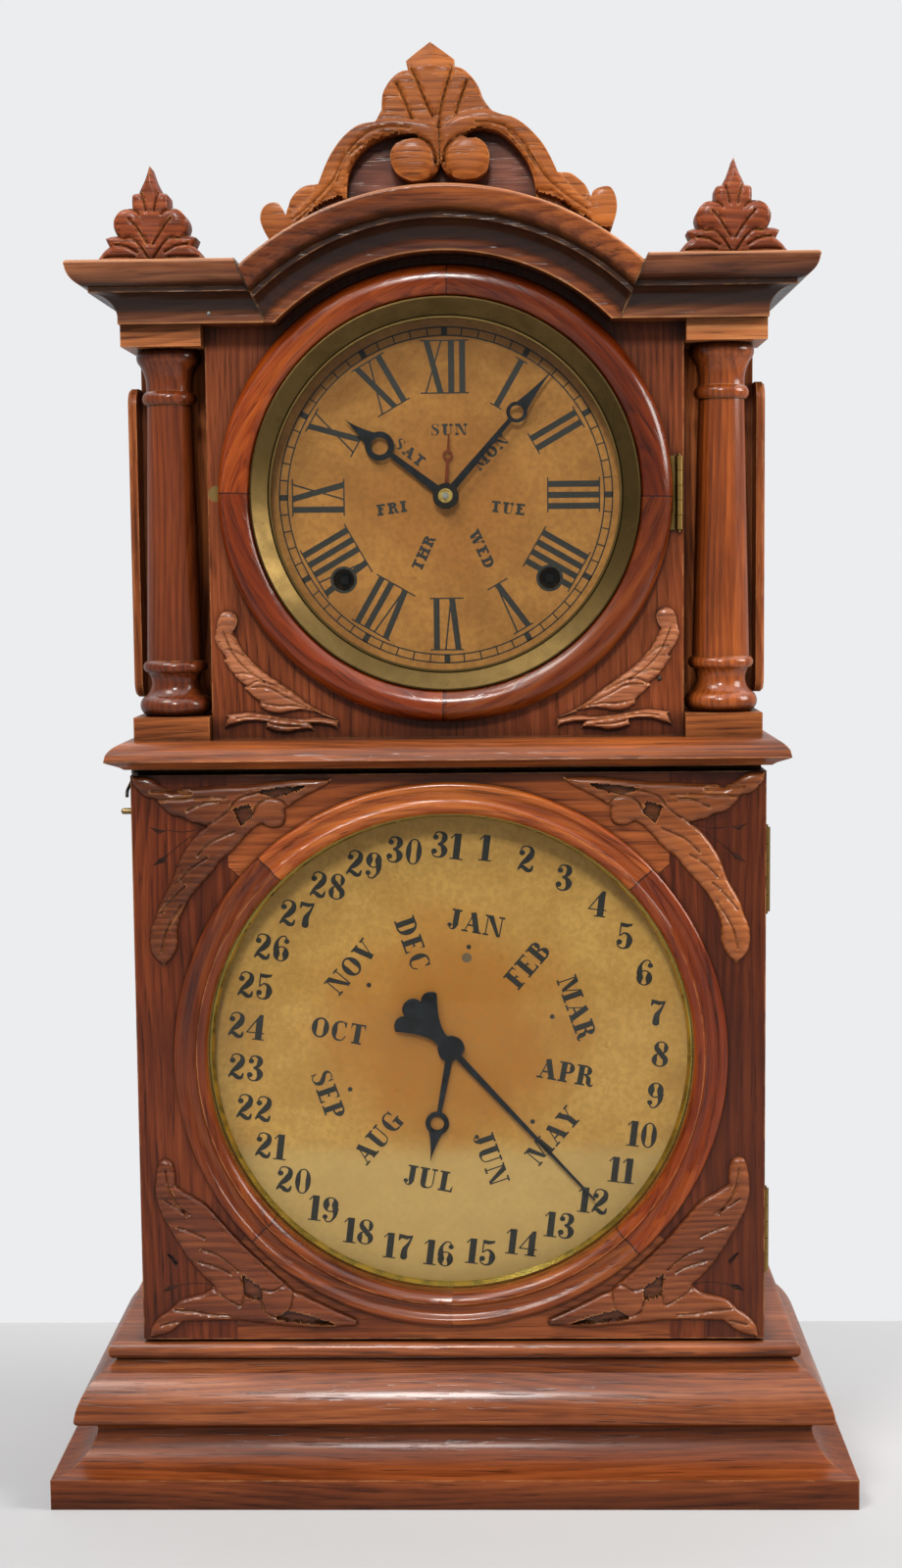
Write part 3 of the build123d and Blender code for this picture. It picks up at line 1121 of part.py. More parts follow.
# Ring glued up from segments and turned: bead, hollow and quarter round, rebated for the glass
with BuildPart() as calendar_door_ring:
    front = CAL_RING_D
    with BuildSketch(turning_plane(CAL_Z)):
        with BuildLine():
            seat = Polyline((CAL_HOLE_R - 0.2, CAL_DOOR_D), (CAL_HOLE_R - 0.2, CAL_RING_BACK),
                            (CAL_GLASS_R + 0.2, CAL_RING_BACK),
                            (CAL_GLASS_R + 0.2, CAL_GLASS_D - 1.0), (CAL_SIGHT_R, CAL_GLASS_D - 1.0),
                            (CAL_SIGHT_R, front + 6.0))
            slope = ThreePointArc(seat @ 1, (CAL_SIGHT_R + 1.6, front + 2.2), (CAL_SIGHT_R + 5.2, front + 0.6))
            quirk = Line(slope @ 1, (CAL_SIGHT_R + 5.8, front + 1.4))
            hollow = ThreePointArc(quirk @ 1, (CAL_SIGHT_R + 9.0, front + 2.6), (CAL_RING_R - 4.6, front + 1.2))
            bead = ThreePointArc(hollow @ 1, (CAL_RING_R - 1.6, front + 0.2), (CAL_RING_R, CAL_DOOR_D))
            Line(bead @ 1, seat @ 0)
        make_face()
    revolve(axis=dial_axis(CAL_Z))
save(calendar_door_ring, "calendar_door_ring")

with BuildPart() as calendar_sight_ring:
    with BuildSketch(turning_plane(CAL_Z)):
        with BuildLine():
            Polyline((CAL_SIGHT_R - 2.4, CAL_GLASS_D), (CAL_GLASS_R, CAL_GLASS_D), (CAL_GLASS_R, CAL_GLASS_D - 1.0),
                     (CAL_SIGHT_R - 0.2, CAL_GLASS_D - 1.0), (CAL_SIGHT_R - 0.2, CAL_GLASS_D - 4.0),
                     (CAL_SIGHT_R - 1.0, CAL_GLASS_D - 4.0), close=True)
        make_face()
    revolve(axis=dial_axis(CAL_Z))
save(calendar_sight_ring, "calendar_sight_ring")

with BuildPart() as calendar_glass:
    round_bar(CAL_GLASS_R, CAL_GLASS_D, CAL_GLASS_D + GLASS_T, 0, CAL_Z)
save(calendar_glass, "calendar_glass")

# Round-ended pin in the door's left edge, and the wire hook that drops over it
HOOK_PIN_D = CAL_DOOR_D + 9.0
with BuildPart() as hook_pin:
    with BuildSketch(Plane(origin=(-CAL_DOOR_HALF + 5.0, y_at(HOOK_PIN_D), HOOK_Z - HOOK_PIN_DROP),
                           x_dir=(0, 1, 0), z_dir=(-1, 0, 0))):
        Circle(HOOK_PIN_R)
    extrude(amount=5.0 + HOOK_PIN_OUT)
    fillet(hook_pin.faces().sort_by(Axis.X)[0].edges(), HOOK_PIN_R * 0.8)
save(hook_pin, "hook_pin")

with BuildPart() as door_hook:
    with BuildSketch(Plane(origin=(HOOK_X + 0.9, y_at(HOOK_D), HOOK_Z), x_dir=(0, 1, 0), z_dir=(-1, 0, 0))):
        Circle(2.4)
    extrude(amount=1.8)
    drop = math.radians(HOOK_DROP)
    bend = HOOK_PIN_R + 0.4 + HOOK_WIRE / 2
    with BuildLine(Plane(origin=(HOOK_X, y_at(HOOK_D), HOOK_Z), x_dir=(0, -math.cos(drop), -math.sin(drop)),
                         z_dir=(-1, 0, 0))) as hook_run:
        shank = Line((1.6, 0), (HOOK_REACH, 0))
        ThreePointArc(shank @ 1, (HOOK_REACH + bend * math.sin(math.pi / 4), bend * math.cos(math.pi / 4) - bend),
                      (HOOK_REACH + bend, -bend))
    with BuildSketch(Plane(origin=hook_run.line @ 0, z_dir=hook_run.line % 0)):
        Circle(HOOK_WIRE / 2)
    sweep(path=hook_run.line)
    with BuildSketch(Plane(origin=(HOOK_X + 2, y_at(HOOK_D), HOOK_Z), x_dir=(0, 1, 0), z_dir=(-1, 0, 0))):
        Circle(1.06)
    extrude(amount=4.0, mode=Mode.SUBTRACT)
save(door_hook, "door_hook")
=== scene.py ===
"""A walnut parlour clock with a time dial over a calendar dial, dressed for the picture.

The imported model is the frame: every piece below sits on it and rides with its bodies.
Z is up, X runs to the right of someone facing the dials, and the front looks along -Y.
Pieces are drawn in millimetres, with depths counted back from the face of the plinth.
Lamps, the view and the distances inside materials are in metres.
"""
import bpy
import math
import numpy as np
from mathutils import Matrix, Vector
from mathutils.geometry import delaunay_2d_cdt


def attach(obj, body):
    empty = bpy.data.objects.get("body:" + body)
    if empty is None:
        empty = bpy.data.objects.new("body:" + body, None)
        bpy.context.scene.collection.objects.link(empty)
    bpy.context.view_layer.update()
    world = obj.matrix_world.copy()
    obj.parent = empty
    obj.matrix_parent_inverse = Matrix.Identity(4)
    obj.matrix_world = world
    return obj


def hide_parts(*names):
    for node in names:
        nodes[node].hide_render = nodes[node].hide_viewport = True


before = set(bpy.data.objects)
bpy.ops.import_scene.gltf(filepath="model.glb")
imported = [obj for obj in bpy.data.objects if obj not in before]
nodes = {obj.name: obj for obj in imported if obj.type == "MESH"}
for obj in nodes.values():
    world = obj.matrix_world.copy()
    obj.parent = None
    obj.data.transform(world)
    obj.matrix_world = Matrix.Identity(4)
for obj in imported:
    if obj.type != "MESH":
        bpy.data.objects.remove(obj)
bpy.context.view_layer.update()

# ---------------------------------------------------------------- the bench
# A pale bench top in a white room, under three soft lamps. What the camera, the varnish
# and the panes see of the room is white and not an empty dark.


class Recipe:
    """A material, or the room's air, being mixed: short calls add a node and join it up."""

    def __init__(self, name, shelf=bpy.data.materials):
        self.material = shelf.new(name)
        self.material.use_nodes = True
        self.tree = self.material.node_tree
        self.shader = self.tree.nodes.get("Principled BSDF")

    def join(self, out, into):
        if isinstance(out, bpy.types.NodeSocket):
            self.tree.links.new(out, into)
        else:
            into.default_value = out

    def add(self, kind, **values):
        """A new node, with links or numbers for its sockets by name."""
        node = self.tree.nodes.new(kind)
        for name, value in values.items():
            self.join(value, node.inputs[name])
        return node

    def place(self):
        return self.add("ShaderNodeTexCoord").outputs["Object"]

    def lay(self, vector, scale=(1, 1, 1), turn=(0, 0, 0), shift=(0, 0, 0)):
        node = self.add("ShaderNodeMapping", Vector=vector, Scale=scale, Rotation=turn, Location=shift)
        return node.outputs[0]

    def cloud(self, vector, scale, detail=3.0, rough=0.55, colour=False, warp=0.0):
        node = self.add("ShaderNodeTexNoise", Vector=vector, Scale=scale, Detail=detail, Roughness=rough,
                        Distortion=warp)
        return node.outputs["Color" if colour else "Fac"]

    def maths(self, what, a, b=0.0, c=0.0, clamp=False):
        node = self.add("ShaderNodeMath")
        node.operation = what
        node.use_clamp = clamp
        for number, value in enumerate((a, b, c)):
            self.join(value, node.inputs[number])
        return node.outputs[0]

    def span(self, a, b):
        """The straight distance that a and b make at right angles."""
        squares = [self.maths("MULTIPLY", side, side) for side in (a, b)]
        return self.maths("SQRT", self.maths("ADD", *squares))

    def vectors(self, what, a, b=(0, 0, 0)):
        node = self.add("ShaderNodeVectorMath")
        node.operation = what
        self.join(a, node.inputs[0])
        self.join(b, node.inputs[1])
        gives_number = what in ("LENGTH", "DOT_PRODUCT", "DISTANCE")
        return node.outputs["Value" if gives_number else "Vector"]

    def parts(self, vector):
        return self.add("ShaderNodeSeparateXYZ", Vector=vector).outputs[:]

    def whole(self, x, y, z):
        return self.add("ShaderNodeCombineXYZ", X=x, Y=y, Z=z).outputs[0]

    def steps(self, value, *stops):
        """A colour ramp through (place, colour) stops."""
        node = self.add("ShaderNodeValToRGB", Fac=value)
        ramp = node.color_ramp
        while len(ramp.elements) < len(stops):
            ramp.elements.new(0.5)
        for element, (where, colour) in zip(ramp.elements, stops):
            element.position = where
            element.color = colour
        return node.outputs["Color"]

    def fade(self, value, low, high, at_low=0.0, at_high=1.0, how="SMOOTHSTEP"):
        node = self.add("ShaderNodeMapRange")
        node.interpolation_type = how
        self.join(value, node.inputs["Value"])
        for socket, number in zip(("From Min", "From Max", "To Min", "To Max"), (low, high, at_low, at_high)):
            node.inputs[socket].default_value = number
        return node.outputs[0]

    def blend(self, share, a, b, how="MIX"):
        node = self.add("ShaderNodeMix")
        node.data_type = "RGBA"
        node.blend_type = how
        self.join(share, node.inputs["Factor"])
        self.join(a, node.inputs["A"])
        self.join(b, node.inputs["B"])
        return node.outputs["Result"]

    def hollow(self, reach):
        """1 on open ground, falling to 0 in corners and hollows."""
        node = self.add("ShaderNodeAmbientOcclusion", Distance=reach)
        node.samples = 6
        return node.outputs["AO"]

    def edges(self, reach):
        """1 along the edges of a piece, where hands and dusters rub, and 0 on its flats."""
        node = self.add("ShaderNodeBevel", Radius=reach)
        node.samples = 4
        here = self.add("ShaderNodeNewGeometry")
        agree = self.vectors("DOT_PRODUCT", node.outputs["Normal"], here.outputs["Normal"])
        return self.fade(agree, 0.93, 0.995, 1.0, 0.0)

    def emboss(self, height, strength, distance):
        return self.add("ShaderNodeBump", Strength=strength, Distance=distance, Height=height).outputs[0]

    def finish(self, colour, roughness, normal=None, **numbers):
        self.join(colour, self.shader.inputs["Base Color"])
        self.join(roughness, self.shader.inputs["Roughness"])
        if normal is not None:
            self.join(normal, self.shader.inputs["Normal"])
        for name, number in numbers.items():
            self.shader.inputs[name.replace("_", " ")].default_value = number
        return self.material


air = Recipe("white_room", bpy.data.worlds)
bpy.context.scene.world = air.material
air.tree.nodes.clear()
rays = air.add("ShaderNodeLightPath").outputs
seen_or_mirrored = air.maths("MAXIMUM", rays["Is Camera Ray"], rays["Is Glossy Ray"])
shows_white = air.maths("MAXIMUM", seen_or_mirrored, rays["Is Transmission Ray"])
# The ceiling is the brightest part of the room, so faces that look up carry a pale sheen,
# and varnish sees the walls a little dimmer than they are, so that it stays clear
CEILING_GLOW = 3.2
WALLS_IN_VARNISH = -0.45
skyward = air.parts(air.add("ShaderNodeTexCoord").outputs["Generated"])[2]
ceiling = air.fade(skyward, 0.35, 0.85, 0.0, CEILING_GLOW)
walls = air.maths("MULTIPLY_ADD", rays["Is Glossy Ray"], WALLS_IN_VARNISH, 1.0)
dim_room = air.add("ShaderNodeBackground", Color=(0.97, 0.98, 1.0, 1.0), Strength=0.30)
white_room = air.add("ShaderNodeBackground", Color=(0.84, 0.845, 0.86, 1.0),
                     Strength=air.maths("ADD", ceiling, walls))
pick_room = air.add("ShaderNodeMixShader", Fac=shows_white)
air.join(dim_room.outputs[0], pick_room.inputs[1])
air.join(white_room.outputs[0], pick_room.inputs[2])
air.join(pick_room.outputs[0], air.add("ShaderNodeOutputWorld").inputs["Surface"])

BENCH_HALF = 1.6
BENCH_FRONT = -1.3
BENCH_BACK = 0.195
BENCH_NEAR = (0.475, 0.485, 0.505, 1.0)
BENCH_FAR = (0.63, 0.645, 0.67, 1.0)
bench_mesh = bpy.data.meshes.new("bench_top")
bench_mesh.from_pydata([(-BENCH_HALF, BENCH_FRONT, 0), (BENCH_HALF, BENCH_FRONT, 0),
                        (BENCH_HALF, BENCH_BACK, 0), (-BENCH_HALF, BENCH_BACK, 0)], [], [(0, 1, 2, 3)])
bench = bpy.data.objects.new("bench_top", bench_mesh)
bpy.context.scene.collection.objects.link(bench)
paint = Recipe("bench_paint")
# Painted light: the bench is painted lighter towards the wall, making up for the lamp light that falls off at
# the back
painted_light_to_wall = paint.fade(paint.parts(paint.place())[1], -0.12, 0.2, how="LINEAR")
bench_mesh.materials.append(paint.finish(paint.steps(painted_light_to_wall, (0.0, BENCH_NEAR), (1.0, BENCH_FAR)), 0.7))


def soft_lamp(name, place, aim, width, watts, colour):
    """A square lamp that looks at a point."""
    lamp = bpy.data.lights.new(name, "AREA")
    lamp.shape = "SQUARE"
    lamp.size = width
    lamp.energy = watts
    lamp.color = colour
    holder = bpy.data.objects.new(name, lamp)
    holder.location = place
    holder.rotation_euler = (Vector(aim) - Vector(place)).to_track_quat("-Z", "Y").to_euler()
    bpy.context.scene.collection.objects.link(holder)


soft_lamp("lamp_left", (-0.95, -1.25, 2.25), (0, 0, 0.36), 0.8, 36, (1.0, 0.95, 0.88))
soft_lamp("lamp_right", (1.7, -0.30, 1.15), (0, 0, 0.40), 0.8, 33, (1.0, 0.96, 0.90))
soft_lamp("lamp_front", (-0.10, -1.95, 1.62), (0, 0, 0.4), 0.34, 31, (1.0, 0.98, 0.95))

# The clock is seen from a little to the right of its middle, looking down. The focal length
# is counted in rows of a picture that is PICTURE_ROWS high.
CAMERA_PLACE = (0.02794, -1.14847, 0.47820)
CAMERA_TURN = math.radians(1.366)
CAMERA_TIP = math.radians(-5.69)
CAMERA_LEAN = math.radians(-0.579)
SENSOR_HIGH = 36.0
FOCAL_ROWS = 2218.76
PICTURE_ROWS = 1600.0
view_glass = bpy.data.cameras.new("view")
view_glass.sensor_fit = "VERTICAL"
view_glass.sensor_height = SENSOR_HIGH
view_glass.lens = SENSOR_HIGH * FOCAL_ROWS / PICTURE_ROWS
view_glass.clip_start = 0.05
view = bpy.data.objects.new("view", view_glass)
ahead = Vector((-math.sin(CAMERA_TURN) * math.cos(CAMERA_TIP), math.cos(CAMERA_TURN) * math.cos(CAMERA_TIP),
                math.sin(CAMERA_TIP)))
level = Vector((math.cos(CAMERA_TURN), math.sin(CAMERA_TURN), 0.0))
over = level.cross(ahead)
right = level * math.cos(CAMERA_LEAN) + over * math.sin(CAMERA_LEAN)
top = over * math.cos(CAMERA_LEAN) - level * math.sin(CAMERA_LEAN)
view.matrix_world = Matrix.Translation(CAMERA_PLACE) @ Matrix((right, top, -ahead)).transposed().to_4x4()
bpy.context.scene.collection.objects.link(view)
bpy.context.scene.camera = view
bpy.context.scene.view_settings.view_transform = "Standard"

# ---------------------------------------------------------------- base mouldings
# The base is a softwood frame with walnut mouldings glued round three sides and mitred
# at the front corners: a coved plinth, a fat ogee and a bullnosed top board. All of it
# was stained a red brown and varnished, and its hollows are darkened by dirt and by painted shade.


def tint(r, g, b):
    """A colour as a paint chip would give it, in 0 to 255, as the shader wants it."""
    def straight(c):
        c /= 255.0
        return c / 12.92 if c <= 0.04045 else ((c + 0.055) / 1.055) ** 2.4
    return (straight(r), straight(g), straight(b), 1.0)


def deeper(colour, share):
    """The same colour with only a share of its light."""
    return tuple(c * share for c in colour[:3]) + (1.0,)


LENGTHWISE = {"X": (0, 0, 0), "Z": (0, math.radians(90), 0)}
HEART = 0.13
WALNUT_DARK = tint(62, 26, 11)
WALNUT_MID = tint(120, 58, 24)
WALNUT_LIGHT = tint(172, 92, 38)
WEAR_AND_HIGHLIGHT_WOOD = tint(206, 142, 88)


def wood_colour(recipe, place, grain, seed, dark, mid, light, rings=300.0, pores=1.0):
    """Figure of a board: growth rings cut lengthwise, cloudy stain and open pores.

    grain is the direction that the fibres run in, rings are the growth rings in a metre and
    HEART is how far the board lay from the middle of the tree. Returns (colour, height, streak)."""
    along = recipe.lay(place, turn=LENGTHWISE[grain], shift=(seed * 0.371, seed * 0.173, seed * 0.239))

    def figure(lengthwise, crosswise, *kind, **more):
        """A cloud drawn out along the grain, as counts in a metre along and across it."""
        return recipe.cloud(recipe.lay(along, scale=(lengthwise, crosswise, crosswise)), 1.0, *kind, **more)

    drift = recipe.vectors("SUBTRACT", figure(3.0, 13.0, 2.0, 0.5, colour=True), (0.5, 0.5, 0.5))
    bent = recipe.vectors("ADD", along, recipe.vectors("MULTIPLY", drift, (0.0, 0.05, 0.05)))
    _, across, through_it = recipe.parts(bent)
    radius = recipe.span(recipe.maths("ADD", across, HEART), recipe.maths("ADD", through_it, HEART * 0.45))
    year = recipe.maths("FRACT", recipe.maths("MULTIPLY", radius, rings))
    ring = recipe.maths("SUBTRACT", recipe.fade(year, 0.0, 0.8), recipe.fade(year, 0.86, 1.0))
    fibre = figure(30.0, 1000.0, 2.0, 0.6)
    streak = figure(7.0, 260.0, 4.0, 0.65)
    patch = figure(7.0, 22.0, 4.0, 0.6, warp=0.5)
    tone = recipe.maths("MULTIPLY_ADD", ring, 0.14, recipe.maths("MULTIPLY", streak, 0.55))
    tone = recipe.maths("MULTIPLY_ADD", patch, 0.95, recipe.maths("SUBTRACT", tone, 0.38))
    tone = recipe.maths("MULTIPLY_ADD", fibre, 0.34, recipe.maths("SUBTRACT", tone, 0.14))
    colour = recipe.steps(tone, (0.16, dark), (0.48, mid), (0.84, light))
    crowd = recipe.maths("MULTIPLY_ADD", ring, -0.5, 0.95)
    pore = recipe.maths("MULTIPLY", recipe.fade(figure(42.0, 880.0, 1.0, 0.5), 0.58, 0.68),
                        recipe.maths("MULTIPLY", crowd, pores, clamp=True))
    colour = recipe.blend(recipe.maths("MULTIPLY", pore, 0.6), colour, deeper(dark, 0.3))
    height = recipe.maths("MULTIPLY_ADD", pore, -1.0, recipe.maths("MULTIPLY", fibre, 0.35))
    return colour, height, streak


def varnish(recipe, colour, height, streak, dark, gloss=0.34, coat=0.14, reach=0.014):
    """Clear varnish over stained wood, darkened in the hollows by dirt and by painted shade, and rubbed thin
    along the edges.
    """
    patchy = recipe.fade(recipe.cloud(recipe.place(), 90.0, 3.0, 0.6), 0.40, 0.62, 0.08, 0.55)
    colour = recipe.blend(recipe.maths("MULTIPLY", recipe.edges(0.0012), patchy), colour, WEAR_AND_HIGHLIGHT_WOOD)
    # Dirt in the hollows, deepened into painted shade where corners, coves and cuts lie in shadow
    darkened_hollows = recipe.fade(recipe.hollow(reach), 0.30, 0.97, 0.85, 0.0)
    colour = recipe.blend(darkened_hollows, colour, deeper(dark, 0.18))
    rough = recipe.maths("MULTIPLY_ADD", streak, 0.24, gloss - 0.10)
    raised = recipe.emboss(height, 0.30, 0.0002)
    recipe.join(raised, recipe.shader.inputs["Coat Normal"])
    return recipe.finish(colour, rough, raised, Coat_Weight=coat, Coat_Roughness=0.16,
                         Specular_IOR_Level=0.10)


def varnished(name, grain, seed, mid, light, dark=WALNUT_DARK, rings=300.0, pores=1.0, **surface):
    """A board of stained and varnished wood."""
    recipe = Recipe(name)
    colour, height, streak = wood_colour(recipe, recipe.place(), grain, seed, dark, mid, light, rings, pores)
    return varnish(recipe, colour, height, streak, dark, **surface)


def dress(node, material):
    """Gives a carried-over piece its finish."""
    for place in nodes[node].material_slots:
        place.material = material


dress("base_plinth", varnished("base_walnut", "X", 1.0, tint(112, 54, 24), tint(148, 78, 38), rings=230.0,
                               reach=0.022))
dress("base_ogee", varnished("ogee_walnut", "X", 2.0, tint(116, 60, 30), tint(158, 92, 50), rings=260.0,
                             reach=0.022, coat=0.35))
dress("base_top_board", varnished("base_top_walnut", "X", 3.0, tint(132, 70, 36), tint(176, 104, 62),
                                  coat=0.40))

PINE = (tint(96, 66, 38), tint(142, 104, 64), tint(176, 138, 92))


def bare_pine(name, grain, seed):
    """Unfinished softwood, toned by age and darker in its corners."""
    recipe = Recipe(name)
    colour, height, streak = wood_colour(recipe, recipe.place(), grain, seed, *PINE, rings=210.0, pores=0.25)
    darkened_hollows = recipe.fade(recipe.hollow(0.02), 0.2, 0.95, 0.5, 0.0)
    colour = recipe.blend(darkened_hollows, colour, tint(50, 38, 26))
    rough = recipe.maths("MULTIPLY_ADD", streak, 0.2, 0.62)
    return recipe.finish(colour, rough, recipe.emboss(height, 0.5, 0.0003))


dress("base_frame", bare_pine("frame_pine", "X", 4.0))

# ---------------------------------------------------------------- lower case
# The lower case is a box: two walnut sides with raised panels glued on, a softwood back
# and the softwood board behind the calendar dial. The sides run up to the waist board.
dress("lower_sides", varnished("side_walnut", "Z", 5.0, WALNUT_MID, WALNUT_LIGHT))
# The panels are lighter than the front's walnut: painted light on the case's sides
dress("side_panels", varnished("panel_walnut_painted_light", "Z", 6.0, tint(138, 72, 34), tint(184, 108, 56),
                               tint(72, 32, 14), rings=240.0))
dress("lower_back_board", bare_pine("lower_back_pine", "Z", 7.0))
dress("calendar_dial_board", bare_pine("dial_board_pine", "Z", 8.0))

# ---------------------------------------------------------------- waist board
# One walnut board with a thumbnail edge worked on three sides. It closes the lower case
# and carries the upper one.
dress("waist_board", varnished("waist_walnut", "X", 9.0, tint(122, 64, 32), WALNUT_LIGHT, rings=250.0,
                               coat=0.30))

# ---------------------------------------------------------------- upper case
# Sides with a notched front corner for the columns, a softwood back and roof, and the
# walnut dial board with its grain upright.
# Lighter than the front's walnut as painted light on the case's sides
dress("upper_sides", varnished("upper_side_walnut_painted_light", "Z", 10.0, tint(140, 74, 36), tint(190, 112, 58)))
dress("upper_front_board", varnished("dial_board_walnut", "Z", 11.0, tint(116, 56, 27), tint(148, 78, 44)))
dress("upper_back_board", bare_pine("upper_back_pine", "Z", 12.0))
dress("roof_board", bare_pine("roof_pine", "X", 13.0))

# ---------------------------------------------------------------- columns
# Each column is turned from one billet and stands on a small plinth, under an abacus. The
# left one has gone darker than the right one. Both were polished in the lathe.
LATHE_POLISH = {"gloss": 0.24, "coat": 0.42, "pores": 0.4}
dress("column_left", varnished("column_left_walnut", "Z", 14.0, tint(92, 40, 17), tint(130, 61, 26),
                               tint(52, 20, 9), **LATHE_POLISH))
dress("column_right", varnished("column_right_walnut", "Z", 15.0, tint(118, 55, 20), tint(166, 86, 34),
                                **LATHE_POLISH))
dress("column_plinths", varnished("column_plinth_walnut", "X", 16.0, tint(144, 80, 40), tint(186, 112, 58)))
dress("abacus_blocks", varnished("abacus_walnut", "X", 17.0, tint(176, 104, 58), tint(214, 144, 88),
                                 tint(90, 46, 24)))

# ---------------------------------------------------------------- cornice
# A head board over the columns carries a moulded cornice, straight over each column and
# turned in an arch over the dial, cut to meet in two mitres. Its cove is painted nearly black
# as shade and its beads are painted bright as highlights: each pair of numbers is where one of
# them starts and ends, in metres out from the dial's centre on the arch and up from CORNICE_DROP on the
# straights.
TIME_Z = 514.5
CORNICE_DROP = 480.5
CORNICE_FOOT = 599.7
MITRE_X = 88.0
MITRE_SLOPE = 12.0 / 28.6
COVE_STARTS = (0.1236, 0.1275)
COVE_ENDS = (0.1412, 0.1372)
TOP_BEAD = (0.1474, 0.1490)
FOOT_BEAD = (0.1218, 0.1202)


def seam(recipe, distance, wide):
    """1 on a joint line, 0 off it; distance is in metres from the joint."""
    return recipe.fade(recipe.maths("ABSOLUTE", distance), wide * 0.4, wide, 1.0, 0.0)


def cornice_walnut(name, seed, mid, light, coat, arched):
    """Walnut with painted shade in its cove, painted highlights on its beads and a dark line where the runs
    meet.
    """
    recipe = Recipe(name)
    place = recipe.place()
    x, _, z = recipe.parts(place)
    colour, height, streak = wood_colour(recipe, place, "X", seed, WALNUT_DARK, mid, light)
    if arched:
        flat = recipe.vectors("MULTIPLY", place, (1, 0, 1))
        out = recipe.vectors("DISTANCE", flat, (0.0, 0.0, TIME_Z / 1000.0))
    else:
        out = recipe.maths("SUBTRACT", z, CORNICE_DROP / 1000.0)
    ragged = recipe.maths("MULTIPLY_ADD", streak, 0.0026, out)
    # Painted shade: the cove is darkened nearly to black, where light does not reach into it
    painted_shade_in_cove = recipe.maths("MINIMUM", recipe.fade(ragged, *COVE_STARTS), recipe.fade(ragged, *COVE_ENDS))
    colour = recipe.blend(recipe.maths("MULTIPLY", painted_shade_in_cove, 0.86), colour, tint(26, 11, 5))
    # Painted highlights: the top and foot beads are lightened where the light catches them
    painted_highlight_on_beads = recipe.maths("MAXIMUM", recipe.fade(ragged, *TOP_BEAD), recipe.fade(ragged, *FOOT_BEAD))
    colour = recipe.blend(recipe.maths("MULTIPLY", painted_highlight_on_beads, 0.40), colour, WEAR_AND_HIGHLIGHT_WOOD)
    mitre = recipe.maths("MULTIPLY_ADD", z, MITRE_SLOPE, (MITRE_X - CORNICE_FOOT * MITRE_SLOPE) / 1000.0)
    joint = seam(recipe, recipe.maths("SUBTRACT", recipe.maths("ABSOLUTE", x), mitre), 0.0009)
    colour = recipe.blend(recipe.maths("MULTIPLY", joint, 0.9), colour, tint(16, 8, 5))
    return varnish(recipe, colour, height, streak, WALNUT_DARK, reach=0.010, coat=coat)


dress("head_board", varnished("head_walnut", "X", 18.0, WALNUT_MID, WALNUT_LIGHT))
for side, seed in (("left", 19.0), ("right", 20.0)):
    dress("cornice_" + side, cornice_walnut("cornice_" + side + "_walnut", seed, tint(104, 58, 34),
                                            tint(150, 94, 60), 0.34, False))
dress("cornice_arch", cornice_walnut("arch_walnut", 21.0, tint(114, 57, 26), tint(172, 96, 44), 0.30, True))

# ---------------------------------------------------------------- crest
# The crest is fretted from a walnut board with its grain level, and carved in low relief:
# a fan with a pyramid on its tip, two scrolled arms that end in volutes, and a leaf and a
# ball at each foot. It stands on the arch in front of a thin upright backing board. Its
# outlines are (x, z), from the middle of the clock and up from the bench.
HALF_DEPTH = 82.5


def spot(x, depth, z):
    """A place in metres from millimetres across, back from the plinth's face and up."""
    return Vector((x / 1000.0, (depth - HALF_DEPTH) / 1000.0, z / 1000.0))


def through(points, gap):
    """A smooth line through points, as evenly spaced as gap allows; its last point is left out."""
    points = [Vector(p) for p in points]
    spaced = []
    for n in range(len(points) - 1):
        before = points[max(n - 1, 0)]
        here, there = points[n], points[n + 1]
        after = points[min(n + 2, len(points) - 1)]
        count = max(1, round((there - here).length / gap))
        for step in range(count):
            t = step / count
            spaced.append(0.5 * (2 * here + (there - before) * t
                                 + (2 * before - 5 * here + 4 * there - after) * t * t
                                 + (3 * here - before - 3 * there + after) * t * t * t))
    return spaced


def outline_of(runs, gap):
    """A closed outline from smooth runs that meet in corners; each run goes on from the last."""
    spaced = []
    last = runs[-1][-1]
    for run in runs:
        spaced += through([last] + list(run), gap)
        last = run[-1]
    return np.array(spaced)


def stroke(points, gap):
    """A smooth line through points, from the first to the last."""
    return np.array(through(points, gap) + [Vector(points[-1])])


def inside(points, loop):
    """Which points lie inside a closed outline."""
    x, y = points[:, 0:1], points[:, 1:2]
    x0, y0 = loop[:, 0], loop[:, 1]
    x1, y1 = np.roll(x0, -1), np.roll(y0, -1)
    rise = np.where(y1 == y0, 1e-12, y1 - y0)
    cut = ((y0 > y) != (y1 > y)) & (x < (x1 - x0) * (y - y0) / rise + x0)
    return (cut.sum(axis=1) % 2).astype(bool)


# The distances are worked out for this many stretches of a line at a time
BATCH = 64


def away(points, line, closed=False):
    """How far each point is from a line of points."""
    start = line
    end = np.roll(line, -1, axis=0)
    if not closed:
        start, end = start[:-1], end[:-1]
    run = end - start
    size = np.maximum((run ** 2).sum(axis=1), 1e-12)
    best = np.full(len(points), 1e9)
    for first in range(0, len(start), BATCH):
        a, d, s = (values[first:first + BATCH] for values in (start, run, size))
        t = np.clip(((points[:, None, :] - a) * d).sum(axis=2) / s, 0, 1)
        gap = points[:, None, :] - (a + t[:, :, None] * d)
        best = np.minimum(best, np.sqrt((gap ** 2).sum(axis=2)).min(axis=1))
    return best


def dome(distance, width):
    """0 at an edge, rising like a quarter round to 1 at width."""
    t = np.clip(distance / width, 0, 1)
    return np.sqrt(1 - (1 - t) ** 2)


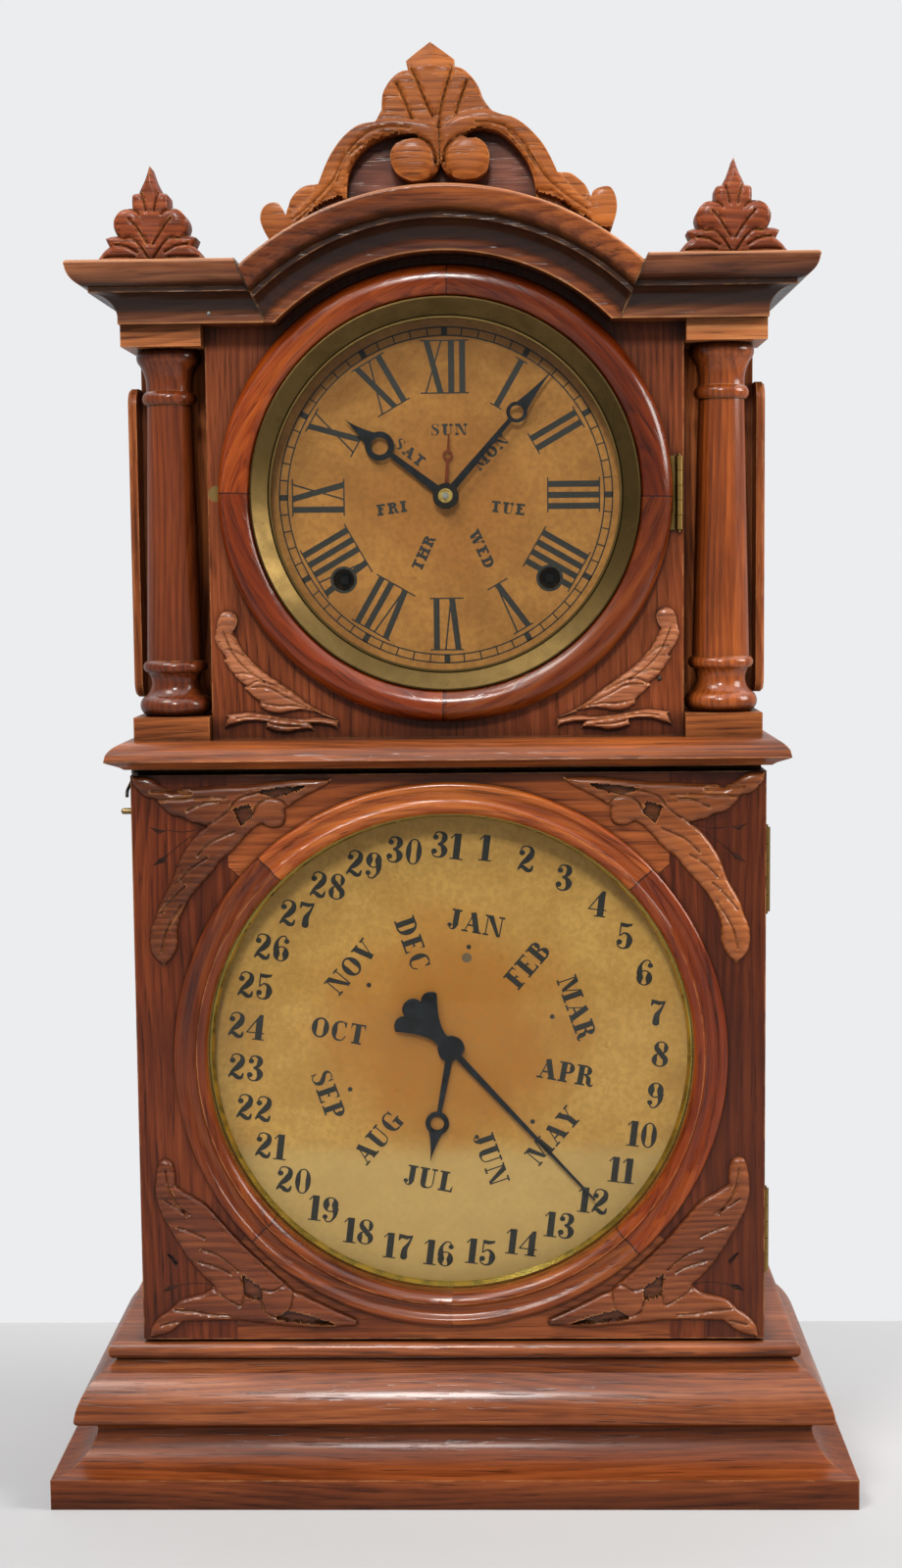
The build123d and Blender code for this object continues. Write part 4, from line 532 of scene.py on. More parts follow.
def groove(points, line, half_width, deep):
    """Depth of a V-cut made along a line with a parting tool."""
    return deep * np.clip(1 - away(points, line) / half_width, 0, 1)


def proud(depth, here, face):
    """The carving with a second face laid over it here, wherever that face stands proud."""
    return np.where(here, np.minimum(depth, face), depth)


def closed_up(faces, count, first=0):
    """A thin solid's faces: the front, the back behind it by count, and the walls round both."""
    front = [tuple(int(v) for v in f) for f in faces]
    back = [(c + count, b + count, a + count) for a, b, c in front]
    rim = dict.fromkeys(edge for a, b, c in front for edge in ((a, b), (b, c), (c, a)))
    walls = [(b, a, a + count, b + count) for a, b in rim if (b, a) not in rim]
    return [tuple(first + v for v in face) for face in front + walls + back]


def as_mesh(name, places, faces, material, body, sharp=38.0):
    """A piece from places and faces, smooth but for its sharp edges, riding on a body."""
    mesh = bpy.data.meshes.new(name)
    mesh.from_pydata(places, [], faces)
    mesh.validate()
    mesh.shade_smooth()
    mesh.set_sharp_from_angle(angle=math.radians(sharp))
    mesh.materials.append(material)
    piece = bpy.data.objects.new(name, mesh)
    bpy.context.scene.collection.objects.link(piece)
    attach(piece, body)
    return piece


def relief(name, edge, lines, depth_at, back, grid, material, body):
    """A board cut to an outline, its front carved to depth_at(points) and its back flat.

    lines are extra runs of points that the carving needs, such as veins and edges of leaves."""
    rim = [(n, (n + 1) % len(edge)) for n in range(len(edge))]
    low, high = edge.min(axis=0), edge.max(axis=0)
    across = np.arange(low[0] + grid / 2, high[0], grid)
    up = np.arange(low[1] + grid / 2, high[1], grid * 0.87)
    field = np.array([(x + (n % 2) * grid / 2, z) for n, z in enumerate(up) for x in across])
    field = field[inside(field, edge)]
    kept = [edge, field[away(field, edge, closed=True) > grid * 0.45]]
    for line in lines:
        line = line[inside(line, edge)]
        if len(line):
            kept.append(line[away(line, edge, closed=True) > grid * 0.3])
    found = delaunay_2d_cdt([Vector(p) for p in np.vstack(kept)], rim, [], 0, 1e-5)
    flat = np.array([(v.x, v.y) for v in found[0]])
    faces = np.array([tuple(f) for f in found[2] if len(f) == 3])
    faces = faces[inside(flat[faces].mean(axis=1), edge)]
    places = [spot(x, d, z) for (x, z), d in zip(flat, depth_at(flat))]
    places += [spot(x, back, z) for x, z in flat]
    return as_mesh(name, places, closed_up(faces, len(flat)), material, body)


CREST_FACE = 26.0
CREST_BACK = 38.0
crest_runs = [
    [(-60.6, 666.5)],
    [(-59.3, 669.7), (-56.8, 675.7), (-53.6, 681.7), (-49.2, 687.7), (-44.1, 692.4), (-39.1, 695.1),
     (-32.1, 696.2)],
    [(-30.4, 699.5), (-28.9, 702.1)],
    [(-28.7, 706.7), (-28.1, 710.3), (-25.9, 714.4), (-22.8, 718.0), (-19.1, 720.3), (-15.6, 720.9)],
    [(-16.7, 725.3)], [(-11.5, 729.6), (-4.9, 734.6)], [(2.0, 729.6), (7.1, 725.7)], [(7.1, 722.3)],
    [(10.5, 721.4), (14.2, 718.6), (17.2, 715.0), (19.3, 711.3), (20.8, 707.1), (22.7, 704.1), (25.7, 700.4)],
    [(30.6, 698.6), (34.9, 697.6), (39.8, 694.8), (44.7, 690.6), (49.6, 685.1), (53.3, 679.0), (57.2, 670.7)],
    [(60.0, 670.9), (63.7, 670.4), (67.4, 667.9), (71.1, 664.3), (73.8, 658.2)],
    [(74.4, 661.2), (77.3, 663.0), (82.2, 663.6), (84.7, 661.0), (86.1, 656.2), (85.9, 650.7), (83.6, 643.0)],
    [(75.4, 640.5)],
    [(66.0, 646.4), (56.0, 651.2), (47.4, 654.4)],
    [(46.4, 663.4), (45.2, 669.5), (42.8, 675.5), (39.1, 681.0), (34.8, 685.9), (29.9, 689.9), (25.0, 691.9),
     (20.1, 692.4), (15.1, 691.0), (11.4, 688.0)],
    [(16.4, 688.2), (21.3, 685.2), (23.5, 681.0), (23.7, 677.0), (22.4, 672.2), (17.4, 668.6), (12.8, 667.9),
     (8.8, 668.2), (2.6, 671.3), (-0.2, 675.9)],
    [(-2.3, 671.9), (-7.3, 668.4), (-12.0, 667.4), (-16.0, 667.9), (-22.1, 671.6), (-24.9, 678.9),
     (-22.6, 684.9), (-17.0, 687.2), (-10.6, 688.1)],
    [(-14.5, 689.4), (-19.4, 689.9), (-24.4, 689.7), (-29.3, 688.6), (-34.3, 686.3), (-39.3, 682.1),
     (-43.1, 677.3), (-45.4, 671.9), (-46.4, 665.9), (-46.8, 656.0)],
    [(-56.0, 652.4), (-66.0, 647.4), (-76.0, 641.0), (-85.3, 633.8)],
    [(-85.3, 640.3)],
    [(-87.7, 644.6), (-89.3, 649.5), (-88.8, 653.7), (-86.9, 656.5), (-83.8, 657.9), (-80.0, 657.3),
     (-76.8, 651.5)],
    [(-75.7, 655.4), (-74.4, 659.6), (-71.2, 663.6), (-67.5, 665.9), (-63.7, 666.6), (-60.6, 666.5)],
]
crest_edge = outline_of(crest_runs, 1.0)
FAN_CUTS = [
    [(-14.1, 721.6), (-11.1, 715.4), (-8.1, 707.6), (-3.6, 698.0)],
    [(5.8, 721.6), (3.7, 714.6), (1.5, 707.4), (-0.2, 699.6), (-1.1, 692.0)],
    [(-21.4, 714.4), (-18.6, 708.9), (-16.2, 702.9), (-14.0, 697.0)],
    [(12.9, 715.0), (11.0, 709.7), (8.9, 703.7), (7.2, 697.3)],
]
ARM_VEINS = [
    [(-15.1, 692.8), (-24.3, 693.8), (-33.0, 692.3), (-41.7, 686.4), (-48.1, 678.0), (-53.2, 668.4),
     (-59.5, 661.4), (-68.3, 653.6), (-76.0, 648.0)],
    [(-39.3, 685.1), (-45.5, 679.8), (-49.4, 673.2), (-51.3, 667.2)],
    [(17.0, 695.4), (25.1, 695.1), (32.4, 692.5), (39.2, 686.4), (45.9, 676.7), (52.0, 668.1), (59.4, 661.4),
     (66.8, 656.0), (75.0, 651.0)],
    [(33.4, 691.1), (37.3, 687.3), (42.2, 681.2), (47.1, 674.0)],
    [(-62.5, 657.6), (-67.0, 652.6), (-71.0, 648.8)],
    [(60.0, 657.0), (65.5, 652.8), (71.0, 650.0)],
]
# The arms pass over the fan and over the leaves at their feet
ARMS = [
    [[(-46.8, 659.0), (-46.4, 665.9), (-45.4, 671.9), (-43.1, 677.3), (-39.3, 682.1), (-34.3, 686.3),
      (-29.3, 688.6), (-24.4, 689.7), (-19.4, 689.9), (-14.5, 689.4), (-10.6, 688.1)],
     [(-8.4, 684.7), (-6.0, 680.0), (-0.6, 675.4)], [(-0.8, 692.0)],
     [(-5.0, 695.6), (-12.0, 697.2), (-22.0, 697.8), (-33.0, 697.0)],
     [(-44.1, 693.4), (-54.6, 682.7), (-61.6, 666.5)],
     [(-66.0, 660.6), (-72.0, 654.6), (-78.0, 650.0)], [(-83.0, 641.0)], [(-70.0, 648.0), (-57.0, 660.0)],
     [(-53.9, 663.8)]],
    [[(46.4, 663.4), (45.2, 669.5), (42.8, 675.5), (39.1, 681.0), (34.8, 685.9), (29.9, 689.9), (25.0, 691.9),
      (20.1, 692.4), (15.1, 691.0), (11.4, 688.0)],
     [(7.9, 684.5), (4.6, 680.0), (-0.4, 675.4)], [(-0.8, 692.0)],
     [(3.0, 696.4), (10.0, 699.6), (20.0, 701.6), (27.0, 700.6)],
     [(40.8, 695.8), (54.3, 679.6), (58.2, 670.7)],
     [(64.0, 664.0), (70.0, 658.6), (77.0, 654.0)],
     [(81.0, 644.0)], [(66.8, 651.6), (59.4, 658.6)], [(54.4, 662.1)]],
]
arm_edges = [outline_of(arm, 1.0) for arm in ARMS]
VOLUTES = [(-14.2, 677.6, 11.4), (13.0, 678.2, 11.4)]
BALLS = [(-82.4, 648.6, 9.6), (80.6, 654.0, 9.0)]
ARCH_TOP_R = 154.5
TIP_X = -4.7
TIP_FOOT = 721.6
TIP_HALF = 13.0
ARMS_FROM_X = 46.0
ARMS_BELOW_Z = 664.5
FAN_EDGE_Z = 688.2
DIAMOND = (-2.4, 698.9)


def circle(x, z, radius, count=48):
    """Points round a circle."""
    return np.array([(x + radius * math.cos(a), z + radius * math.sin(a))
                     for a in (math.tau * n / count for n in range(count))])


def crest_depth(p):
    """Depth of the carved face: fan, pyramid, arms, volutes, balls and the diamond between them."""
    x, z = p[:, 0], p[:, 1]
    depth = CREST_FACE + 2.4 - 1.0 * dome(away(p, crest_edge, closed=True), 1.6)
    pyramid = (z > TIP_FOOT) & (np.abs(x - TIP_X) < TIP_HALF)
    depth = np.where(pyramid, CREST_FACE + 0.8 + (z - TIP_FOOT) * 0.26 + np.abs(x - TIP_X) * 0.10, depth)
    under_arm = (z < ARMS_BELOW_Z) & (np.abs(x) > ARMS_FROM_X)
    depth = np.where(under_arm & (np.hypot(x, z - TIME_Z) < ARCH_TOP_R), CREST_FACE + 6.0, depth)
    for cut in FAN_CUTS:
        depth += groove(p, stroke(cut, 1.0), 1.1, 1.3)
    for arm in arm_edges:
        depth = proud(depth, inside(p, arm), CREST_FACE + 1.3 - 1.3 * dome(away(p, arm, closed=True), 3.6))
    for vein in ARM_VEINS:
        depth += groove(p, stroke(vein, 1.0), 0.9, 0.9)
    for cx, cz, radius in VOLUTES:
        out = radius - np.hypot(x - cx, z - cz)
        depth = proud(depth, (out > 0) & (z < FAN_EDGE_Z), CREST_FACE + 0.8 - 2.1 * dome(out, 7.5))
        depth += 1.5 * np.exp(-(out / 0.8) ** 2) * (z > cz - 2.0) * (np.sign(cx) * (x - cx) < 6.0)
    for cx, cz, radius in BALLS:
        out = radius - np.hypot(x - cx, (z - cz) * 0.86)
        depth = proud(depth, out > 0, CREST_FACE + 1.2 - 1.4 * dome(out, 6.0))
    diamond = np.abs(x - DIAMOND[0]) / 2.2 + np.abs(z - DIAMOND[1]) / 3.6
    return depth + np.clip(1.6 - 1.6 * diamond, 0, 1)


crest_lines = [np.array(through(cut, 0.9)) for cut in FAN_CUTS + ARM_VEINS] + arm_edges
crest_lines.append(circle(0.0, TIME_Z, ARCH_TOP_R, 900))
crest_lines += [circle(*round_end) for round_end in VOLUTES + BALLS]
crest_wood = varnished("crest_cherry", "X", 22.0, tint(130, 70, 28), tint(176, 104, 48), tint(70, 32, 12),
                       gloss=0.40, coat=0.10, reach=0.007)
crest = relief("crest_carved", crest_edge, crest_lines, crest_depth, CREST_BACK, 1.15, crest_wood, "case")
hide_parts("crest")
dress("crest_backboard", varnished("crest_back_walnut", "X", 23.0, tint(124, 74, 58), tint(160, 108, 88),
                                   tint(66, 34, 26)))

# ---------------------------------------------------------------- finials
# Two palmette finials sawn from a walnut board and carved on the face. They stand on the
# cornice over the columns, each on a small spread foot. The outline is the right half, from
# the tip down, with z counted up from the foot.
FINIAL_X = 142.6
FINIAL_FOOT = 628.3
FINIAL_FACE = 17.0
FINIAL_BACK = 35.0
FINIAL_LOBE = (10.8, 19.6, 7.4)
finial_half = [
    [(0.0, 47.0)], [(2.2, 40.6), (4.2, 36.6)], [(5.4, 33.9)], [(8.4, 33.2), (8.9, 30.0), (8.8, 26.4)],
    [(11.6, 26.3), (15.0, 24.9), (17.6, 21.5), (18.3, 18.0), (17.0, 14.2), (16.6, 13.4)],
    [(19.6, 13.2), (22.4, 12.2)], [(21.4, 9.9), (20.6, 8.3)], [(23.4, 6.0), (25.8, 3.0), (28.6, 0.0)],
]
finial_cuts = [
    [(4.0, 33.6), (2.9, 29.8), (1.9, 25.0)],
    [(10.4, 21.6), (6.8, 17.4), (3.4, 12.6), (1.2, 9.0)],
    [(5.3, 23.6), (7.7, 25.6), (11.6, 26.3)],
    [(17.0, 14.2), (14.1, 12.2), (10.7, 12.5), (8.3, 11.6), (4.9, 7.9), (0.2, 0.6)],
    [(6.8, 5.2), (11.7, 8.0), (18.2, 9.2)],
    [(8.0, 2.9), (15.6, 3.1), (23.3, 2.9)],
]
finial_cuts += [[(-x, z) for x, z in cut] for cut in finial_cuts]


def both_halves(right_half):
    """A closed outline from the runs down its right half, with their mirror image back up."""
    left_half = []
    last = right_half[0][0]
    for run in right_half:
        left_half.append([(-x, z) for x, z in [last] + run][-2::-1])
        last = run[-1]
    return right_half + [[(-last[0], last[1])]] + left_half[::-1]


def finial_depth(p):
    """Depth of a finial's face: three lobes over a fluted foot."""
    depth = FINIAL_FACE + 3.4 - 2.4 * dome(away(p, finial_edge, closed=True), 3.2)
    x, z, radius = FINIAL_LOBE
    for side in (-1, 1):
        lobe = radius - np.hypot(p[:, 0] - side * x, p[:, 1] - z)
        depth = proud(depth, lobe > 0, FINIAL_FACE + 2.6 - 2.6 * dome(lobe, 6.0))
    for cut in finial_cuts:
        depth += groove(p, stroke(cut, 0.8), 0.85, 1.1)
    return depth


finial_edge = outline_of(both_halves(finial_half), 0.9)
finial_wood = varnished("finial_walnut", "X", 24.0, tint(128, 62, 34), tint(174, 98, 56))
finial_lines = [np.array(through(cut, 0.8)) for cut in finial_cuts]
for side, word in ((-1, "left"), (1, "right")):
    finial = relief("finial_" + word + "_carved", finial_edge, finial_lines, finial_depth, FINIAL_BACK, 0.9,
                    finial_wood, "case")
    for corner in finial.data.vertices:
        corner.co += Vector((side * FINIAL_X / 1000.0, 0.0, FINIAL_FOOT / 1000.0))
    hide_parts("finials")

# ---------------------------------------------------------------- leaf carvings
# A carved spray of acanthus is glued and nailed into each lower corner of the dial board:
# a long leaf that ends in a ball, and a lower leaf that lies along the waist board. They
# are drawn for the left corner.
LEAF_FACE = 40.0
LEAF_BACK = 44.0
leaf_runs = [
    [(-108.9, 446.9)],
    [(-107.2, 449.4), (-106.5, 453.1), (-108.3, 456.0), (-111.2, 457.1), (-114.5, 455.7), (-116.4, 451.6),
     (-117.7, 447.0), (-118.4, 443.6), (-116.6, 439.1), (-114.1, 435.3), (-112.5, 433.0)],
    [(-113.8, 431.9)], [(-110.9, 427.3), (-106.9, 422.3), (-102.7, 418.9)], [(-103.6, 417.7)],
    [(-99.9, 413.9), (-95.8, 410.5)], [(-95.8, 408.4)],
    [(-92.1, 405.9), (-85.9, 404.6), (-79.1, 405.8), (-72.4, 406.1), (-64.1, 404.0), (-56.2, 401.3)],
    [(-66.6, 406.4), (-77.3, 414.5), (-85.6, 420.4), (-93.0, 425.5), (-98.8, 430.6), (-103.7, 436.4),
     (-107.7, 444.0), (-108.9, 446.9)],
]
low_leaf_runs = [
    [(-56.0, 400.8)],
    [(-66.6, 402.3), (-74.2, 401.7), (-84.2, 402.6), (-91.7, 403.9), (-100.9, 405.2), (-106.0, 404.9),
     (-113.1, 404.0)],
    [(-112.3, 402.7)], [(-114.5, 397.7)], [(-110.3, 398.5), (-104.4, 400.4), (-98.0, 400.8), (-92.6, 400.3)],
    [(-93.1, 397.5)], [(-88.5, 395.4), (-81.0, 394.6), (-76.8, 395.7), (-68.0, 396.2)], [(-69.6, 399.0)],
    [(-62.0, 398.6), (-55.9, 396.8)],
]
leaf_edge = outline_of(leaf_runs, 0.9)
low_leaf_edge = outline_of(low_leaf_runs, 0.9)
LEAF_VEINS = [
    [(-112.4, 437.5), (-108.7, 437.2), (-103.7, 434.4), (-99.8, 431.2)],
    [(-101.9, 418.5), (-97.3, 421.2), (-93.1, 420.9), (-87.3, 418.8), (-80.8, 415.4)],
    [(-99.8, 418.1), (-91.4, 418.0), (-83.2, 413.6), (-74.1, 409.1), (-66.8, 404.8)],
    [(-113.6, 446.6), (-111.4, 441.0), (-108.0, 434.0), (-101.0, 426.4), (-93.0, 420.8)],
    [(-94.0, 410.0), (-86.0, 408.6), (-79.0, 408.6), (-72.0, 407.4)],
    [(-109.6, 424.8), (-104.0, 425.6), (-100.0, 424.8)],
]
LOW_LEAF_VEINS = [[(-107.7, 402.2), (-101.0, 403.0), (-92.6, 402.3), (-82.6, 401.0), (-74.2, 399.9),
                   (-70.0, 399.4)],
                  [(-91.0, 399.6), (-84.0, 398.2), (-76.0, 397.8)]]
LEAF_BALL = (-111.4, 451.4, 5.6)


def leaf_depth(p):
    """Depth of the upper leaf's face, with its ball."""
    depth = LEAF_FACE + 2.6 - 2.2 * dome(away(p, leaf_edge, closed=True), 4.2)
    for vein in LEAF_VEINS:
        depth += groove(p, stroke(vein, 0.8), 0.9, 0.9)
    x, z, radius = LEAF_BALL
    ball_rim = radius - np.hypot(p[:, 0] - x, p[:, 1] - z)
    return proud(depth, ball_rim > 0, LEAF_FACE + 1.9 - 1.9 * dome(ball_rim, 4.8))


def low_leaf_depth(p):
    """Depth of the lower leaf's face."""
    depth = LEAF_FACE + 2.4 - 2.0 * dome(away(p, low_leaf_edge, closed=True), 2.6)
    for vein in LOW_LEAF_VEINS:
        depth += groove(p, stroke(vein, 0.8), 0.8, 0.8)
    return depth


def mirrored(edge, lines, depth_at):
    """The same carving for the right of the clock, from the one at the left."""
    flip = np.array([-1.0, 1.0])
    return edge[::-1] * flip, [line[::-1] * flip for line in lines], lambda p: depth_at(p * flip)


leaf_wood = varnished("leaf_walnut", "X", 25.0, tint(152, 90, 58), tint(200, 134, 92), tint(72, 34, 18),
                      coat=0.30)
big_leaf = (leaf_edge, [np.array(through(vein, 0.8)) for vein in LEAF_VEINS], leaf_depth)
low_leaf = (low_leaf_edge, [np.array(through(vein, 0.8)) for vein in LOW_LEAF_VEINS], low_leaf_depth)
leaves = [
    relief("leaf_left", *big_leaf, LEAF_BACK, 0.9, leaf_wood, "case"),
    relief("low_leaf_left", *low_leaf, LEAF_BACK, 0.8, leaf_wood, "case"),
    relief("leaf_right", *mirrored(*big_leaf), LEAF_BACK, 0.9, leaf_wood, "case"),
    relief("low_leaf_right", *mirrored(*low_leaf), LEAF_BACK, 0.8, leaf_wood, "case"),
]
for leaf in leaves:
    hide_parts("leaf_carvings")

# ---------------------------------------------------------------- nails and cracks
# Small domed nails hold the dial board and the left cornice to the blocks behind them, and
# the dial board has split a little at its top, between two nails, where it has shrunk.
BOARD_FACE = 44.0
NAIL_R = 1.25
NAIL_HIGH = 0.8
NAIL_SIDES = 16
BOARD_NAILS = [(-103.6, 421.0), (108.2, 420.8), (-104.8, 536.4), (42.1, 611.6)]
CORNICE_NAIL = (-115.6, 24.6, 604.4)
CRACKS = [[(-20.5, 621.9), (-20.9, 618.0), (-20.6, 613.4)], [(52.4, 614.2), (52.2, 610.0), (52.6, 604.8)]]
CRACK_HALF = 0.225
CRACK_END = 0.05
CRACK_RISE = 0.05


def nail_heads(name, spots, material):
    """Domed nail heads at (x, depth, z), one mesh for all of them."""
    places, faces = [], []
    around = [(n, (n + 1) % NAIL_SIDES) for n in range(NAIL_SIDES)]
    for x, depth, z in spots:
        first = len(places)
        for radius, high in ((NAIL_R, 0.0), (NAIL_R, 0.35), (NAIL_R * 0.72, 0.7)):
            places += [spot(px, depth - high * NAIL_HIGH, pz) for px, pz in circle(x, z, radius, NAIL_SIDES)]
        places.append(spot(x, depth - NAIL_HIGH, z))
        for row in (first, first + NAIL_SIDES):
            faces += [(row + n, row + m, row + NAIL_SIDES + m, row + NAIL_SIDES + n) for n, m in around]
        top_row = first + 2 * NAIL_SIDES
        faces += [(top_row + n, top_row + m, top_row + NAIL_SIDES) for n, m in around]
        faces.append(tuple(range(first + NAIL_SIDES - 1, first - 1, -1)))
    as_mesh(name, places, faces, material, "case", 60.0)


def nail_metal(name, dark, light, rough, metallic):
    """Metal mottled with dust or rust."""
    recipe = Recipe(name)
    dust = recipe.cloud(recipe.place(), 700.0, 3.0, 0.6)
    return recipe.finish(recipe.steps(dust, (0.35, dark), (0.65, light)), rough, Metallic=metallic)


nail_iron = nail_metal("nail_iron", tint(40, 26, 18), tint(70, 50, 38), 0.5, 0.4)
nail_heads("dial_board_nails", [(x, BOARD_FACE, z) for x, z in BOARD_NAILS], nail_iron)
nail_steel = nail_metal("nail_steel", tint(96, 92, 86), tint(150, 148, 140), 0.38, 0.9)
nail_heads("cornice_nail", [CORNICE_NAIL], nail_steel)
crack_places, crack_faces = [], []
for crack in CRACKS:
    first = len(crack_places)
    for n, (x, z) in enumerate(crack):
        half = CRACK_HALF if n < len(crack) - 1 else CRACK_END
        crack_places += [spot(x + side, BOARD_FACE - CRACK_RISE, z) for side in (-half, half)]
    crack_faces += [(a, a + 2, a + 3, a + 1) for a in range(first, len(crack_places) - 2, 2)]
crack_shadow = Recipe("crack_shadow").finish(tint(14, 7, 4), 0.9, Specular_IOR_Level=0.05)
as_mesh("dial_board_cracks", crack_places, crack_faces, crack_shadow, "case")

# ---------------------------------------------------------------- time dial
# A round of zinc faced with printed paper: Roman hours, a ring of minutes and the names of
# the weekdays in the middle. Letters and figures are drawn in a box one unit high and laid
# on the paper as films of ink. Black rings of painted shade widen the winding holes. Age shows
# as brown mottling, and painted shade darkens the rim.
INK_RISE = 0.00005
FAT = 0.24
SERIF = 0.09
BAND_STEPS = 40


def band(centre, size, thick, thin, start=0.0, sweep=360.0):
    """A pen stroke round an ellipse: thick where it runs upright and thin where it lies level."""
    (cx, cy), (rx, ry) = centre, size
    outer, inner = [], []
    for n in range(BAND_STEPS + 1):
        a = math.radians(start + sweep * n / BAND_STEPS)
        wide = thin + (thick - thin) * abs(math.cos(a)) ** 1.6
        outer.append((cx + rx * math.cos(a), cy + ry * math.sin(a)))
        inner.append((cx + (rx - wide) * math.cos(a), cy + (ry - max(thin, wide * 0.35)) * math.sin(a)))
    return outer + inner[::-1]


def ribbon(points, widths):
    """A pen stroke along a curve whose width changes along it."""
    fine = through(points, 0.04) + [Vector(points[-1])]
    count = len(fine)
    left_side, right_side = [], []
    for n, here in enumerate(fine):
        run = (fine[min(n + 1, count - 1)] - fine[max(n - 1, 0)]).normalized()
        where = n / (count - 1) * (len(widths) - 1)
        low = min(int(where), len(widths) - 2)
        wide = widths[low] + (widths[low + 1] - widths[low]) * (where - low)
        side = Vector((-run.y, run.x)) * wide / 2
        left_side.append(tuple(here + side))
        right_side.append(tuple(here - side))
    return left_side + right_side[::-1]


def bar(x0, y0, x1, y1, wide):
    """A straight stroke."""
    return ribbon([(x0, y0), (x1, y1)], [wide, wide])


def ball(x, y, radius):
    """A round end to a stroke."""
    return circle(x, y, radius, 16)


def block(x0, x1, y0, y1):
    """An upright or level stroke with square ends."""
    return [(x0, y0), (x1, y0), (x1, y1), (x0, y1)]


